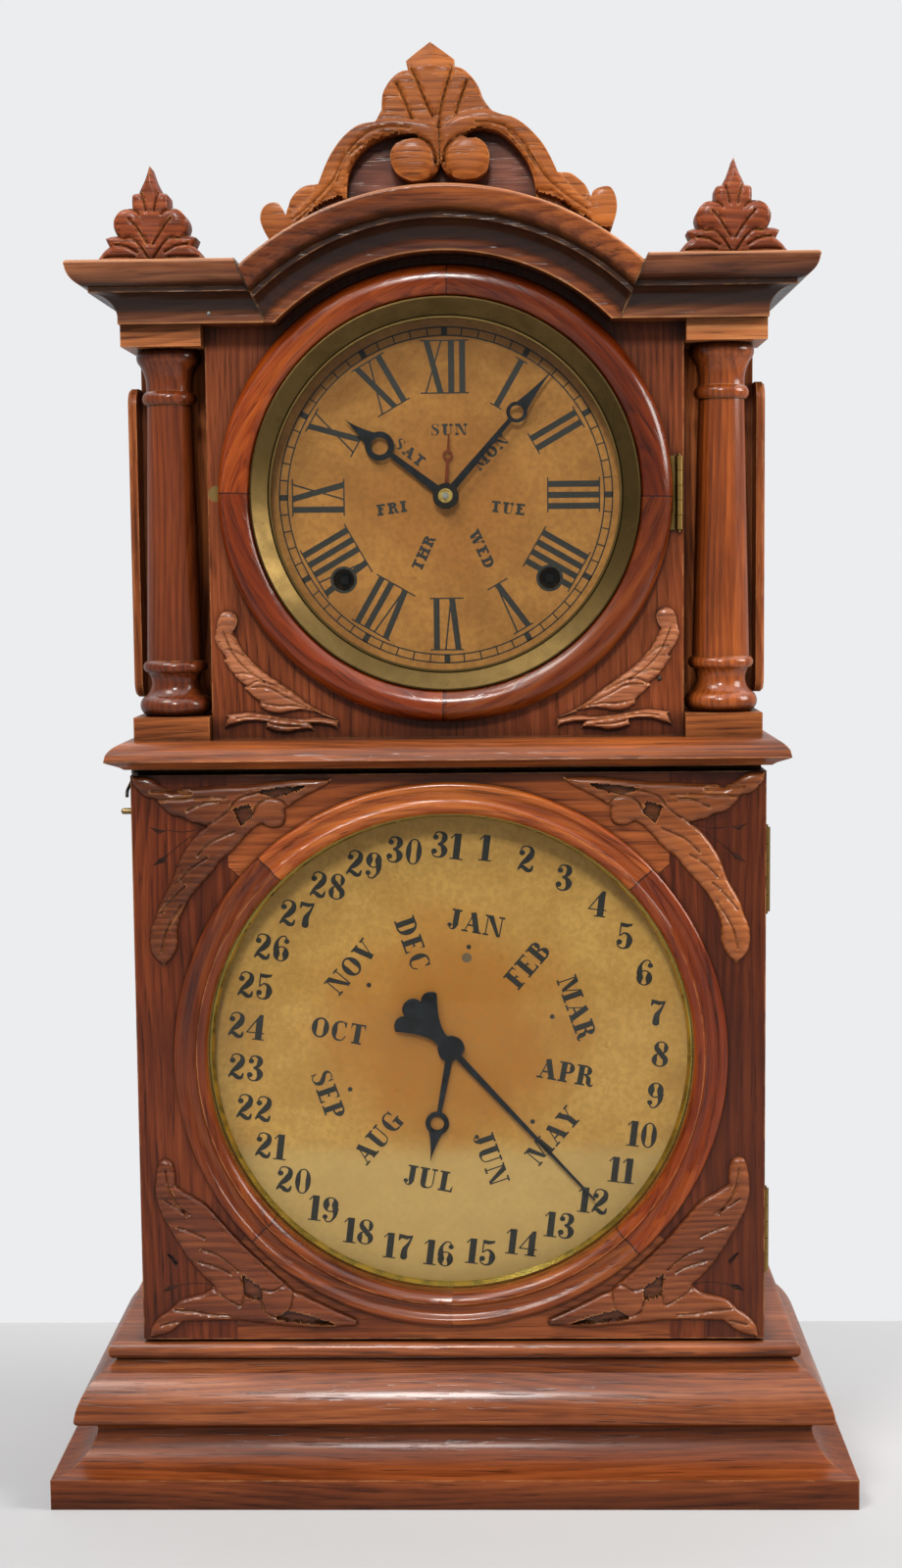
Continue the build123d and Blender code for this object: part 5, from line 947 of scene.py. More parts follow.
def fat_letters(thin):
    """Fat-faced capitals and figures with serifs as thick as thin; each is (advance, strokes)."""
    def foot(x0, x1):
        return block(x0, x1, 0, thin)

    def head(x0, x1):
        return block(x0, x1, 1 - thin, 1)

    def arm(x0, x1, y):
        return block(x0, x1, y, y + thin)

    def post(x):
        left, right = x - FAT / 2, x + FAT / 2
        ends = (left - SERIF, right + SERIF)
        return [block(left, right, 0.0, 1.0), foot(*ends), head(*ends)]

    def bow(cx, cy, rx, ry, thick):
        return band((cx, cy), (rx, ry), thick, thin, -90, 180)

    c_back = [band((0.38, 0.5), (0.34, 0.5), FAT, thin, 75, 210), bar(0.62, 0.98, 0.62, 0.70, 0.05),
              ribbon([(0.46, 0.98), (0.58, 0.88), (0.62, 0.70)], [0.05, 0.08, 0.04])]
    e_tongue = [(0.46, 0.64), (0.40, 0.5), (0.46, 0.36)]
    return {
        "1": (0.44, [block(0.14, 0.14 + FAT, 0, 1), foot(0.03, 0.49), bar(0.16, 0.97, 0.02, 0.80, 0.05)]),
        "2": (0.62, [ribbon([(0.10, 0.72), (0.14, 0.92), (0.30, 0.985), (0.47, 0.90), (0.49, 0.70),
                             (0.36, 0.48), (0.16, 0.27), (0.07, 0.05)],
                            [0.05, 0.05, 0.06, 0.17, 0.24, 0.20, 0.09, 0.05]),
                     ball(0.15, 0.72, 0.105),
                     ribbon([(0.06, 0.10), (0.20, 0.19), (0.40, 0.07), (0.52, 0.09), (0.57, 0.27)],
                            [0.06, 0.15, 0.17, 0.12, 0.04])]),
        "3": (0.62, [ribbon([(0.10, 0.78), (0.14, 0.93), (0.28, 0.985), (0.44, 0.90), (0.46, 0.74),
                             (0.38, 0.58), (0.24, 0.52)], [0.05, 0.05, 0.06, 0.16, 0.22, 0.13, 0.05]),
                     ball(0.15, 0.77, 0.10),
                     ribbon([(0.24, 0.52), (0.42, 0.45), (0.50, 0.26), (0.42, 0.07), (0.26, 0.015),
                             (0.11, 0.09), (0.08, 0.22)], [0.05, 0.14, 0.24, 0.16, 0.06, 0.05, 0.05]),
                     ball(0.14, 0.23, 0.105)]),
        "4": (0.66, [[(0.34, 0), (0.34 + FAT, 0), (0.34 + FAT, 1), (0.46, 1), (0.34, 0.78)],
                     bar(0.47, 0.98, 0.04, 0.28, 0.05), arm(0.02, 0.66, 0.25), foot(0.25, 0.66)]),
        "5": (0.62, [ribbon([(0.13, 0.48), (0.28, 0.61), (0.44, 0.53), (0.49, 0.31), (0.42, 0.08),
                             (0.25, 0.015), (0.10, 0.10), (0.07, 0.24)],
                            [0.04, 0.06, 0.15, 0.24, 0.16, 0.06, 0.05, 0.05]),
                     ball(0.14, 0.25, 0.105), bar(0.13, 0.48, 0.13, 1.0, 0.05),
                     [(0.11, 1.0), (0.11, 0.85), (0.34, 0.83), (0.52, 0.90), (0.55, 1.0), (0.36, 0.98)]]),
        "6": (0.64, [band((0.32, 0.30), (0.28, 0.30), FAT, thin),
                     ribbon([(0.50, 0.84), (0.42, 0.98), (0.27, 0.96), (0.14, 0.74), (0.13, 0.40)],
                            [0.05, 0.05, 0.08, 0.18, 0.22]), ball(0.48, 0.80, 0.095)]),
        "7": (0.58, [[(0.05, 1.0), (0.04, 0.74), (0.09, 0.74), (0.14, 0.84), (0.34, 0.80), (0.50, 0.88),
                      (0.56, 1.0), (0.50, 0.98), (0.34, 0.96), (0.16, 0.99)],
                     ribbon([(0.53, 0.96), (0.42, 0.66), (0.30, 0.40), (0.29, 0.12)],
                            [0.05, 0.09, 0.20, 0.26]),
                     ball(0.29, 0.12, 0.13)]),
        "8": (0.64, [band((0.32, 0.75), (0.25, 0.25), 0.16, thin),
                     band((0.32, 0.27), (0.29, 0.27), 0.19, thin),
                     ribbon([(0.14, 0.78), (0.30, 0.56), (0.46, 0.36), (0.50, 0.24)],
                            [0.12, 0.18, 0.20, 0.12])]),
        "9": (0.64, [band((0.31, 0.70), (0.28, 0.30), FAT, thin),
                     ribbon([(0.13, 0.16), (0.21, 0.02), (0.36, 0.04), (0.49, 0.26), (0.50, 0.60)],
                            [0.05, 0.05, 0.08, 0.18, 0.22]), ball(0.15, 0.20, 0.095)]),
        "0": (0.62, [band((0.31, 0.5), (0.28, 0.5), FAT - thin, thin, turn, 180) for turn in (-90, 90)]),
        "A": (0.86, [bar(0.16, 0.03, 0.44, 0.98, 0.05), bar(0.68, 0.03, 0.42, 0.98, FAT),
                     arm(0.24, 0.58, 0.30), foot(0.03, 0.30), foot(0.50, 0.87)]),
        "B": (0.74, post(0.22) + [bow(0.38, 0.76, 0.24, 0.24, 0.20), bow(0.40, 0.27, 0.30, 0.27, 0.22),
                                  arm(0.22, 0.40, 0.50), head(0.22, 0.40), foot(0.22, 0.40)]),
        "C": (0.74, c_back + [ribbon([(0.36, 0.025), (0.54, 0.08), (0.66, 0.30)], [0.05, 0.06, 0.04])]),
        "D": (0.80, post(0.22) + [bow(0.36, 0.5, 0.39, 0.5, FAT), head(0.22, 0.38), foot(0.22, 0.38)]),
        "E": (0.70, post(0.22) + [head(0.22, 0.62), foot(0.22, 0.64), arm(0.22, 0.46, 0.48),
                                  [(0.60, 1.0), (0.52, 1.0), (0.60, 0.72)],
                                  [(0.63, 0.0), (0.52, 0.0), (0.63, 0.30)], e_tongue]),
        "F": (0.66, post(0.22) + [head(0.22, 0.62), arm(0.22, 0.46, 0.48),
                                  [(0.62, 1.0), (0.52, 1.0), (0.62, 0.70)], e_tongue]),
        "G": (0.80, c_back + [ribbon([(0.36, 0.025), (0.50, 0.04), (0.60, 0.12)], [0.05, 0.05, 0.05]),
                              block(0.50, 0.70, 0.0, 0.42), arm(0.42, 0.78, 0.40)]),
        "H": (0.88, post(0.20) + post(0.68) + [arm(0.2, 0.68, 0.48)]),
        "I": (0.42, post(0.21)),
        "J": (0.58, [block(0.24, 0.48, 0.2, 1), head(0.14, 0.57),
                     ribbon([(0.36, 0.24), (0.32, 0.06), (0.18, 0.03), (0.10, 0.16)],
                            [0.24, 0.12, 0.05, 0.05]),
                     ball(0.13, 0.20, 0.10)]),
        "L": (0.66, post(0.22) + [foot(0.22, 0.62), [(0.62, 0.0), (0.50, 0.0), (0.62, 0.36)]]),
        "M": (1.06, [bar(0.14, 0.02, 0.14, 0.98, 0.055), foot(0.02, 0.26), head(0.02, 0.24),
                     [(0.12, 1.0), (0.36, 1.0), (0.60, 0.10), (0.46, 0.10)], bar(0.52, 0.10, 0.74, 1.0, 0.05),
                     block(0.74, 0.98, 0, 1), foot(0.66, 1.06), head(0.74, 1.06)]),
        "N": (0.88, [bar(0.14, 0.02, 0.14, 0.98, 0.055), foot(0.02, 0.27), head(0.02, 0.24),
                     [(0.10, 1.0), (0.36, 1.0), (0.76, 0.0), (0.62, 0.0)], bar(0.74, 0.02, 0.74, 0.98, 0.055),
                     head(0.60, 0.86)]),
        "O": (0.80, [band((0.40, 0.5), (0.37, 0.5), FAT, thin, turn, 180) for turn in (-90, 90)]),
        "P": (0.70, post(0.22) + [bow(0.38, 0.72, 0.29, 0.28, 0.22), arm(0.22, 0.40, 0.44),
                                  head(0.22, 0.40)]),
        "R": (0.82, post(0.22) + [bow(0.38, 0.75, 0.28, 0.25, 0.21), arm(0.22, 0.42, 0.50), head(0.22, 0.40),
                                  ribbon([(0.40, 0.52), (0.55, 0.40), (0.58, 0.16), (0.68, 0.03),
                                          (0.79, 0.12)], [0.05, 0.18, 0.22, 0.12, 0.04])]),
        "S": (0.66, [ribbon([(0.53, 0.80), (0.42, 0.95), (0.26, 0.965), (0.14, 0.86), (0.17, 0.69),
                             (0.36, 0.53), (0.50, 0.36), (0.47, 0.13), (0.30, 0.025), (0.15, 0.09),
                             (0.08, 0.26)],
                            [0.04, 0.05, 0.06, 0.13, 0.18, 0.22, 0.20, 0.14, 0.06, 0.05, 0.04]),
                     bar(0.53, 0.99, 0.53, 0.72, 0.045), bar(0.09, 0.01, 0.09, 0.30, 0.045)]),
        "T": (0.72, post(0.36)[:2] + [head(0.05, 0.67), [(0.05, 1.0), (0.14, 1.0), (0.05, 0.68)],
                                      [(0.67, 1.0), (0.58, 1.0), (0.67, 0.68)]]),
        "U": (0.84, [block(0.12, 0.36, 0.28, 1), head(0.03, 0.45),
                     ribbon([(0.24, 0.30), (0.27, 0.10), (0.44, 0.025), (0.62, 0.12), (0.66, 0.32)],
                            [0.24, 0.20, 0.07, 0.05, 0.05]),
                     bar(0.66, 0.30, 0.66, 0.98, 0.055), head(0.54, 0.79)]),
        "V": (0.84, [bar(0.20, 0.98, 0.44, 0.02, FAT), bar(0.68, 0.98, 0.44, 0.02, 0.05), head(0.02, 0.40),
                     head(0.56, 0.82)]),
        "W": (1.16, [bar(0.19, 0.98, 0.40, 0.02, FAT), bar(0.60, 0.98, 0.42, 0.02, 0.05),
                     bar(0.58, 0.98, 0.78, 0.02, FAT), bar(1.00, 0.98, 0.80, 0.02, 0.05), head(0.02, 0.80),
                     head(0.88, 1.13)]),
        "Y": (0.82, [bar(0.20, 0.98, 0.42, 0.48, FAT), bar(0.66, 0.98, 0.44, 0.46, 0.05),
                     block(0.30, 0.54, 0, 0.5), foot(0.20, 0.64), head(0.02, 0.38), head(0.55, 0.80)]),
    }


def joined_up(strokes, holes=()):
    """One flat shape from strokes that lie over each other, less any holes: (points, triangles)."""
    points, edges, loops = [], [], []
    for line in list(strokes) + list(holes):
        first = len(points)
        points += [Vector(p) for p in line]
        edges += [(first + n, first + (n + 1) % len(line)) for n in range(len(line))]
        loops.append(np.array([(p[0], p[1]) for p in line]))
    found = delaunay_2d_cdt(points, edges, [], 0, 1e-6)
    flat = np.array([(v.x, v.y) for v in found[0]])
    faces = np.array([tuple(f) for f in found[2] if len(f) == 3])
    middles = flat[faces].mean(axis=1)
    kept = np.any([inside(middles, loop) for loop in loops[:len(strokes)]], axis=0)
    for loop in loops[len(strokes):]:
        kept &= ~inside(middles, loop)
    return flat, faces[kept]


class Print:
    """Ink on one paper: shapes are gathered, then made into a single thin film."""

    def __init__(self, depth):
        self.depth = depth
        self.places = []
        self.faces = []

    def add(self, flat, faces):
        """Adds a flat shape given in millimetres as (x, z)."""
        first = len(self.places)
        self.places += [spot(x, self.depth, z) - Vector((0, INK_RISE, 0)) for x, z in flat]
        self.places += [spot(x, self.depth, z) for x, z in flat]
        self.faces += closed_up(faces, len(flat), first)

    def strokes(self, strokes, holes=()):
        """Strokes given straight in millimetres."""
        self.add(*joined_up(strokes, holes))

    def word(self, text, face, x, z, high, lean, gap=0.05, wide=1.08):
        """A word in a typeface with its middle at x, z; lean is degrees clockwise."""
        at = -(sum(face[letter][0] for letter in text) + gap * (len(text) - 1)) / 2
        turn = math.radians(-lean)
        for letter in text:
            advance, flat, faces = face[letter]
            moved = (flat + np.array([at, -0.5])) * np.array([wide, 1.0]) * high
            turned = np.column_stack([moved[:, 0] * math.cos(turn) - moved[:, 1] * math.sin(turn) + x,
                                      moved[:, 0] * math.sin(turn) + moved[:, 1] * math.cos(turn) + z])
            self.add(turned, faces)
            at += advance + gap

    def done(self, name, material, body="case"):
        return as_mesh(name, self.places, self.faces, material, body)


def typeface(thin):
    """Every letter's advance and its flat shape."""
    drawn = fat_letters(thin)
    return {letter: (advance, *joined_up(strokes)) for letter, (advance, strokes) in drawn.items()}


def ring_of(radius, wide, x, z, count):
    """A printed circle, wide from its edge inwards."""
    flat = np.vstack([circle(x, z, radius, count), circle(x, z, radius - wide, count)])
    faces = []
    for n in range(count):
        m = (n + 1) % count
        faces += [(n, m, count + m), (n, count + m, count + n)]
    return flat, np.array(faces)


def on_dial(angle, radius, across, centre):
    """A place on a dial: angle clockwise from 12, distance out and distance clockwise."""
    a = math.radians(angle)
    out = Vector((math.sin(a), math.cos(a)))
    clockwise = Vector((math.cos(a), -math.sin(a)))
    place = Vector(centre) + out * radius + clockwise * across
    return (place.x, place.y)


TIME_FACE = 56.0
HOUR_LOW = 51.8
HOUR_HIGH = 78.9
HOUR_FAT_HALF = 1.55
HOUR_THIN_HALF = 0.42
SERIF_REACH = 0.875
SERIF_DEEP = 0.9
HOUR_LINE = 0.7
MINUTE_IN = 81.1
MINUTE_OUT = 85.6
WINDING_X = 52.9
WINDING_Z = 472.3
WINDING_R = 5.6
HOLE_SHADE_R = 6.9
WEEKDAY_FACE = typeface(0.20)
WEEKDAY_HIGH = 5.8
ROMAN = ["XII", "I", "II", "III", "IIII", "V", "VI", "VII", "VIII", "IX", "X", "XI"]
# Each letter's width, and for each of its strokes half its width and where it starts and ends
ROMAN_STROKES = {
    "I": (5.6, [(HOUR_FAT_HALF, 0.0, 0.0)]),
    "V": (10.6, [(HOUR_FAT_HALF, -3.1, 0.2), (HOUR_THIN_HALF, 3.6, 0.6)]),
    "X": (12.4, [(HOUR_FAT_HALF, -3.6, 3.6), (HOUR_THIN_HALF, 4.0, -4.0)]),
}
# Each weekday's place from the centre, and how far it leans clockwise
WEEKDAYS = [("SUN", 2.0, 33.7, 0.0), ("MON", 23.2, 21.9, -45.0), ("TUE", 31.9, -6.4, 7.0),
            ("WED", 18.2, -27.1, 65.0), ("THR", -11.6, -28.6, -65.0), ("FRI", -27.8, -5.9, -8.0),
            ("SAT", -18.2, 22.4, 40.0)]


def four_sided(angle, *corners):
    """A shape from corners given as (radius, distance clockwise) at an angle on the time dial."""
    return [on_dial(angle, radius, across, (0.0, TIME_Z)) for radius, across in corners]


def roman(numeral, angle):
    """One hour: strokes run out from the middle, between a serif line at each end."""
    at = -sum(ROMAN_STROKES[letter][0] for letter in numeral) / 2
    edge = 0.5 - at
    strokes = []
    for letter in numeral:
        width, lines = ROMAN_STROKES[letter]
        middle = at + width / 2
        at += width
        for half, head, foot in lines:
            head += middle
            foot += middle
            strokes.append(four_sided(angle, (HOUR_HIGH, head - half), (HOUR_LOW, foot - half),
                                      (HOUR_LOW, foot + half), (HOUR_HIGH, head + half)))
            for radius, end, deep in ((HOUR_HIGH, head, SERIF_DEEP), (HOUR_LOW, foot, -SERIF_DEEP)):
                strokes.append(four_sided(angle, (radius, end - half - SERIF_REACH),
                                          (radius - deep, end - half), (radius - deep, end + half),
                                          (radius, end + half + SERIF_REACH)))
    for radius in (HOUR_HIGH, HOUR_LOW + HOUR_LINE):
        strokes.append(four_sided(angle, (radius, -edge), (radius - HOUR_LINE, -edge),
                                  (radius - HOUR_LINE, edge), (radius, edge)))
    return strokes


time_ink_and_hole_shade = Print(TIME_FACE)
hole_shade_discs = [circle(side * WINDING_X, WINDING_Z, HOLE_SHADE_R) for side in (-1, 1)]
for hour, numeral in enumerate(ROMAN):
    time_ink_and_hole_shade.strokes(roman(numeral, hour * 30.0), hole_shade_discs)
for radius in (MINUTE_IN + 0.35, MINUTE_OUT):
    time_ink_and_hole_shade.add(*ring_of(radius, 0.7, 0.0, TIME_Z, 240))
# A black ring of painted shade is printed round each winding hole, so that the hole reads wider and black
# inside
for side in (-1, 1):
    time_ink_and_hole_shade.add(*ring_of(HOLE_SHADE_R, HOLE_SHADE_R - WINDING_R, side * WINDING_X, WINDING_Z, 60))
for minute in range(60):
    half = 1.5 if minute % 5 == 0 else 0.34
    time_ink_and_hole_shade.strokes([four_sided(minute * 6.0, (MINUTE_OUT, -half), (MINUTE_IN, -half), (MINUTE_IN, half),
                                 (MINUTE_OUT, half))])
for day, x, z, lean in WEEKDAYS:
    time_ink_and_hole_shade.word(day, WEEKDAY_FACE, x, TIME_Z + z, WEEKDAY_HIGH, lean, gap=0.10, wide=1.26)
ink_mix = Recipe("dial_ink_and_hole_shade")
ink_wear = ink_mix.cloud(ink_mix.place(), 900.0, 3.0, 0.7)
ink_and_hole_shade_colour = ink_mix.steps(ink_wear, (0.32, tint(24, 22, 19)), (0.64, tint(38, 33, 27)),
                           (0.84, tint(84, 64, 42)))
ink_and_hole_shade = ink_mix.finish(ink_and_hole_shade_colour, 0.55, Specular_IOR_Level=0.3)
time_ink_and_hole_shade.done("time_dial_print_and_hole_shade", ink_and_hole_shade)


def old_paper(name, middle, edge, stain, centre_z, reach, low=None):
    """Printed paper gone brown: cloudy tone, a stain in the middle, foxing and fine fibres, with painted
    shade near its rim and, where low is given, a pale painted reflection of the glass over its foot.
    """
    recipe = Recipe(name)
    place = recipe.place()
    tone = recipe.cloud(place, 26.0, 5.0, 0.62, warp=0.4)
    colour = recipe.blend(recipe.fade(tone, 0.38, 0.66), middle, edge)
    flat = recipe.vectors("MULTIPLY", place, (1, 0, 1))
    from_middle = recipe.vectors("DISTANCE", flat, (0.0, 0.0, centre_z / 1000.0))
    uneven = recipe.maths("MULTIPLY_ADD", recipe.cloud(place, 40.0, 4.0, 0.6), 0.05, -0.025)
    near = recipe.fade(recipe.maths("ADD", from_middle, uneven), reach * 0.35, reach, 0.85, 0.0)
    colour = recipe.blend(near, colour, stain)
    spots = recipe.fade(recipe.cloud(place, 240.0, 2.0, 0.5), 0.66, 0.76, 0.0, 0.30)
    colour = recipe.blend(spots, colour, deeper(stain, 0.55))
    mottle = recipe.fade(recipe.cloud(place, 330.0, 4.0, 0.7), 0.38, 0.62, 0.36, 0.0)
    colour = recipe.blend(mottle, colour, deeper(edge, 0.62))
    fine = recipe.cloud(place, 1900.0, 2.0, 0.6)
    colour = recipe.blend(recipe.fade(fine, 0.3, 0.8, 0.0, 0.16), colour, deeper(edge, 0.6))
    # Painted reflection: the foot of the paper is lightened towards low, as the glass in front shows the room
    # there
    if low is not None:
        up = recipe.parts(place)[2]
        painted_glass_reflection = recipe.fade(up, centre_z / 1000.0 - 0.066, centre_z / 1000.0 - 0.050, 0.6, 0.0)
        colour = recipe.blend(painted_glass_reflection, colour, low)
    # Painted shade: the paper is darkened near the ring and bezel round it
    painted_shade_at_rim = recipe.fade(recipe.hollow(0.02), 0.15, 0.85, 0.10, 0.0)
    colour = recipe.blend(painted_shade_at_rim, colour, deeper(edge, 0.35))
    return recipe.finish(colour, 0.72, recipe.emboss(fine, 0.06, 0.00004), Specular_IOR_Level=0.15)


dress("time_dial", old_paper("time_paper", tint(184, 126, 64), tint(156, 102, 48), tint(164, 104, 48),
                             TIME_Z, 0.06))

# ---------------------------------------------------------------- movement
# An eight-day striking movement between two brass plates, with the verge and pendulum hung
# at its front, a wire gong on the back board and a hammer. Little of it shows.


def old_brass(name, bright, dull, gloss=0.34, tarnish=0.5):
    """Lacquered brass gone olive, brown where the lacquer has failed and dull in the corners."""
    recipe = Recipe(name)
    place = recipe.place()
    cloudy = recipe.cloud(place, 55.0, 5.0, 0.62, warp=0.6)
    colour = recipe.blend(recipe.fade(cloudy, 0.34, 0.68, 0.0, tarnish), bright, dull)
    spots = recipe.fade(recipe.cloud(place, 700.0, 3.0, 0.6), 0.60, 0.74, 0.0, 0.5)
    colour = recipe.blend(spots, colour, deeper(dull, 0.35))
    darkened_hollows = recipe.fade(recipe.hollow(0.004), 0.3, 0.95, 0.7, 0.0)
    colour = recipe.blend(darkened_hollows, colour, deeper(dull, 0.16))
    rough = recipe.maths("MULTIPLY_ADD", cloudy, 0.30, gloss - 0.12)
    fine = recipe.cloud(place, 2600.0, 2.0, 0.7)
    return recipe.finish(colour, rough, recipe.emboss(fine, 0.05, 0.00003), Metallic=1.0)


def dark_steel(name, bright, dull, gloss, rust):
    """Blued or blackened steel, with a little rust in the pits."""
    recipe = Recipe(name)
    place = recipe.place()
    cloudy = recipe.cloud(place, 120.0, 4.0, 0.6)
    colour = recipe.blend(recipe.fade(cloudy, 0.35, 0.7), bright, dull)
    pits = recipe.fade(recipe.cloud(place, 900.0, 3.0, 0.65), 0.58, 0.72, 0.0, rust)
    colour = recipe.blend(pits, colour, tint(84, 46, 24))
    rough = recipe.maths("MULTIPLY_ADD", cloudy, 0.26, gloss - 0.08)
    return recipe.finish(colour, rough, recipe.emboss(cloudy, 0.05, 0.00005), Metallic=0.9)


# Painted shade: the plates and wheels get a darker brass than their own, so that they stay dark deep behind
# the winding holes
shaded_movement_brass = old_brass("shaded_movement_brass", tint(76, 58, 32), tint(44, 33, 19), 0.40)
for node in ("movement_front_plate", "movement_back_plate", "calendar_plate", "escape_wheel", "hour_wheel",
             "motion_wheel"):
    dress(node, shaded_movement_brass)
# Painted shade: the winding arbors are near black, as they lie in the shadow of their holes
shaded_arbor_steel = dark_steel("shaded_arbor_steel", tint(24, 22, 19), tint(14, 12, 11), 0.5, 0.3)
for node in ("time_winding_arbor", "strike_winding_arbor"):
    dress(node, shaded_arbor_steel)
works_steel = dark_steel("works_steel", tint(120, 118, 112), tint(82, 76, 70), 0.38, 0.35)
for node in ("screws", "verge", "hammer", "gong", "lifting_rod"):
    dress(node, works_steel)
dress("pendulum", dark_steel("bob_iron", tint(96, 90, 80), tint(60, 50, 42), 0.45, 0.5))

# ---------------------------------------------------------------- time dial hands
# Blued steel hands with a ring short of a spade tip, over a thin brass pointer for the day
# of the week. The end of the centre arbor is a steel pin in a brass nut on a dark washer.
PIN_R = 0.0017
NUT_R = 0.0037
hand_steel = dark_steel("hand_steel", tint(40, 42, 46), tint(24, 22, 22), 0.30, 0.12)
for node in ("minute_hand", "hour_hand", "date_hand", "month_hand"):
    dress(node, hand_steel)
dress("weekday_hand", old_brass("pointer_brass", tint(112, 54, 34), tint(74, 34, 22), 0.40))
centre_mix = Recipe("centre_metal")
centre_x, _, centre_up = centre_mix.parts(centre_mix.place())
from_axis = centre_mix.span(centre_x, centre_mix.maths("SUBTRACT", centre_up, TIME_Z / 1000.0))
worn = centre_mix.cloud(centre_mix.place(), 700.0, 4.0, 0.6)
duller = centre_mix.fade(worn, 0.4, 0.7)
nut_brass = centre_mix.blend(duller, tint(206, 172, 96), tint(124, 96, 50))
pin_steel = centre_mix.blend(duller, tint(176, 170, 160), tint(96, 88, 80))
washer_on = centre_mix.blend(centre_mix.maths("GREATER_THAN", from_axis, NUT_R), nut_brass, tint(46, 42, 38))
pin_on = centre_mix.blend(centre_mix.maths("LESS_THAN", from_axis, PIN_R), washer_on, pin_steel)
centre_rough = centre_mix.maths("MULTIPLY_ADD", worn, 0.3, 0.18)
dress("centre_arbor", centre_mix.finish(pin_on, centre_rough, Metallic=1.0))

# ---------------------------------------------------------------- time door
# A round door: four quadrants of cherry joined at 12, 3, 6 and 9 o'clock and turned to a
# half round, with a spun brass bezel pressed in behind and a glass held by its flange.
CHERRY = (tint(88, 36, 14), tint(158, 78, 30), tint(206, 124, 58))
RED_STAIN = tint(186, 150, 112)


def turned_ring(name, centre_z, seed, first_joint, gloss, coat, stains):
    """A ring glued up from four pieces whose grain runs round with it.

    stains are the four pieces' own shades, clockwise from the first joint."""
    recipe = Recipe(name)
    x, y, z = recipe.parts(recipe.place())
    up = recipe.maths("SUBTRACT", z, centre_z / 1000.0)
    angle = recipe.maths("ARCTAN2", x, up)
    past_joint = recipe.maths("ADD", angle, math.radians(360.0 - first_joint))
    quarter = recipe.maths("MULTIPLY", past_joint, 2.0 / math.pi)
    piece = recipe.maths("MODULO", recipe.maths("FLOOR", quarter), 4.0)
    within = recipe.maths("SUBTRACT", recipe.maths("FRACT", quarter), 0.5)
    # A straight board's grain leaves the ring's edge at an angle towards the joints
    drift = recipe.maths("MULTIPLY", recipe.maths("MULTIPLY", within, within), -0.055)
    along = recipe.maths("MULTIPLY_ADD", piece, 0.83, recipe.maths("MULTIPLY", angle, 0.11))
    laid = recipe.whole(along, recipe.maths("ADD", recipe.span(x, up), drift), y)
    colour, height, streak = wood_colour(recipe, laid, "X", seed, *CHERRY, rings=260.0)
    shade = recipe.steps(recipe.maths("DIVIDE", piece, 3.0),
                         *[(n / 3.0, stain) for n, stain in enumerate(stains)])
    colour = recipe.blend(1.0, colour, shade, "MULTIPLY")
    from_joint = recipe.maths("SUBTRACT", recipe.maths("ABSOLUTE", within), 0.5)
    joint = seam(recipe, recipe.maths("MULTIPLY", from_joint, 0.17), 0.0005)
    colour = recipe.blend(recipe.maths("MULTIPLY", joint, 0.85), colour, tint(30, 12, 8))
    return varnish(recipe, colour, height, streak, tint(58, 20, 9), gloss, coat)


def pane(name):
    """Thin old glass: clear, with the room faintly on its outer face and a trace of haze."""
    recipe = Recipe(name)
    recipe.tree.nodes.remove(recipe.shader)
    clear = recipe.add("ShaderNodeBsdfTransparent", Color=(0.95, 0.97, 0.95, 1.0))
    shine = recipe.add("ShaderNodeBsdfGlossy", Color=(0.42, 0.45, 0.48, 1.0), Roughness=0.04)
    facing = recipe.add("ShaderNodeFresnel", IOR=1.45)
    outer_face = recipe.maths("SUBTRACT", 1.0, recipe.add("ShaderNodeNewGeometry").outputs["Backfacing"])
    shown = recipe.maths("MULTIPLY", facing.outputs[0], outer_face)
    both_kinds = recipe.add("ShaderNodeMixShader", Fac=shown)
    recipe.join(clear.outputs[0], both_kinds.inputs[1])
    recipe.join(shine.outputs[0], both_kinds.inputs[2])
    out = next(node for node in recipe.tree.nodes if node.type == "OUTPUT_MATERIAL")
    recipe.join(both_kinds.outputs[0], out.inputs["Surface"])
    return recipe.material


TIME_STAINS = (tint(154, 122, 88), tint(160, 138, 112), RED_STAIN, tint(206, 172, 132))
dress("time_door_ring", turned_ring("time_ring_cherry", TIME_Z, 31.0, 1.0, 0.22, 0.45, TIME_STAINS))
dress("time_bezel", old_brass("bezel_brass", tint(95, 77, 44), tint(68, 55, 31), 0.36))
dress("time_hinge_leaf", old_brass("hinge_brass", tint(142, 114, 62), tint(84, 66, 36)))
dress("case_hinge_leaves", old_brass("case_hinge_brass", tint(136, 108, 58), tint(80, 62, 34)))
dress("time_catch", old_brass("catch_brass", tint(126, 100, 60), tint(76, 60, 34), 0.36))
pane_glass = pane("pane_glass")
dress("time_glass", pane_glass)
dress("calendar_glass", pane_glass)

# ---------------------------------------------------------------- calendar dial
# A second paper dial on a softwood board: the days 1 to 31 in a ring, the months in a ring
# inside it, every second one laid on its side. It was pasted on a few degrees askew, and it
# has a round patch of grime in the middle, a grey tack head and a paler foot that is a painted
# reflection of the glass.
CALENDAR_Z = 228.7
CALENDAR_FACE = 50.0
PRINT_CENTRE = (0.6, 226.6)
DAY_RING = 108.5
DAY_HIGH = 13.6
DAY_LEAN = 7.0
FIRST_DAY_AT = 9.5
DAY_STEP = 11.65
MONTH_HIGH = 10.8
MONTH_TURN = 10.8
MONTHS = ["JAN", "FEB", "MAR", "APR", "MAY", "JUN", "JUL", "AUG", "SEP", "OCT", "NOV", "DEC"]
ROUND_MONTH_AT = 69.0
SIDEWAYS_MONTH_AT = 60.4
DOTS = [(9.7, 53.1), (52.8, 16.1), (42.3, -39.7), (-53.1, -22.0), (-42.5, 33.3)]
DOT_R = 1.25
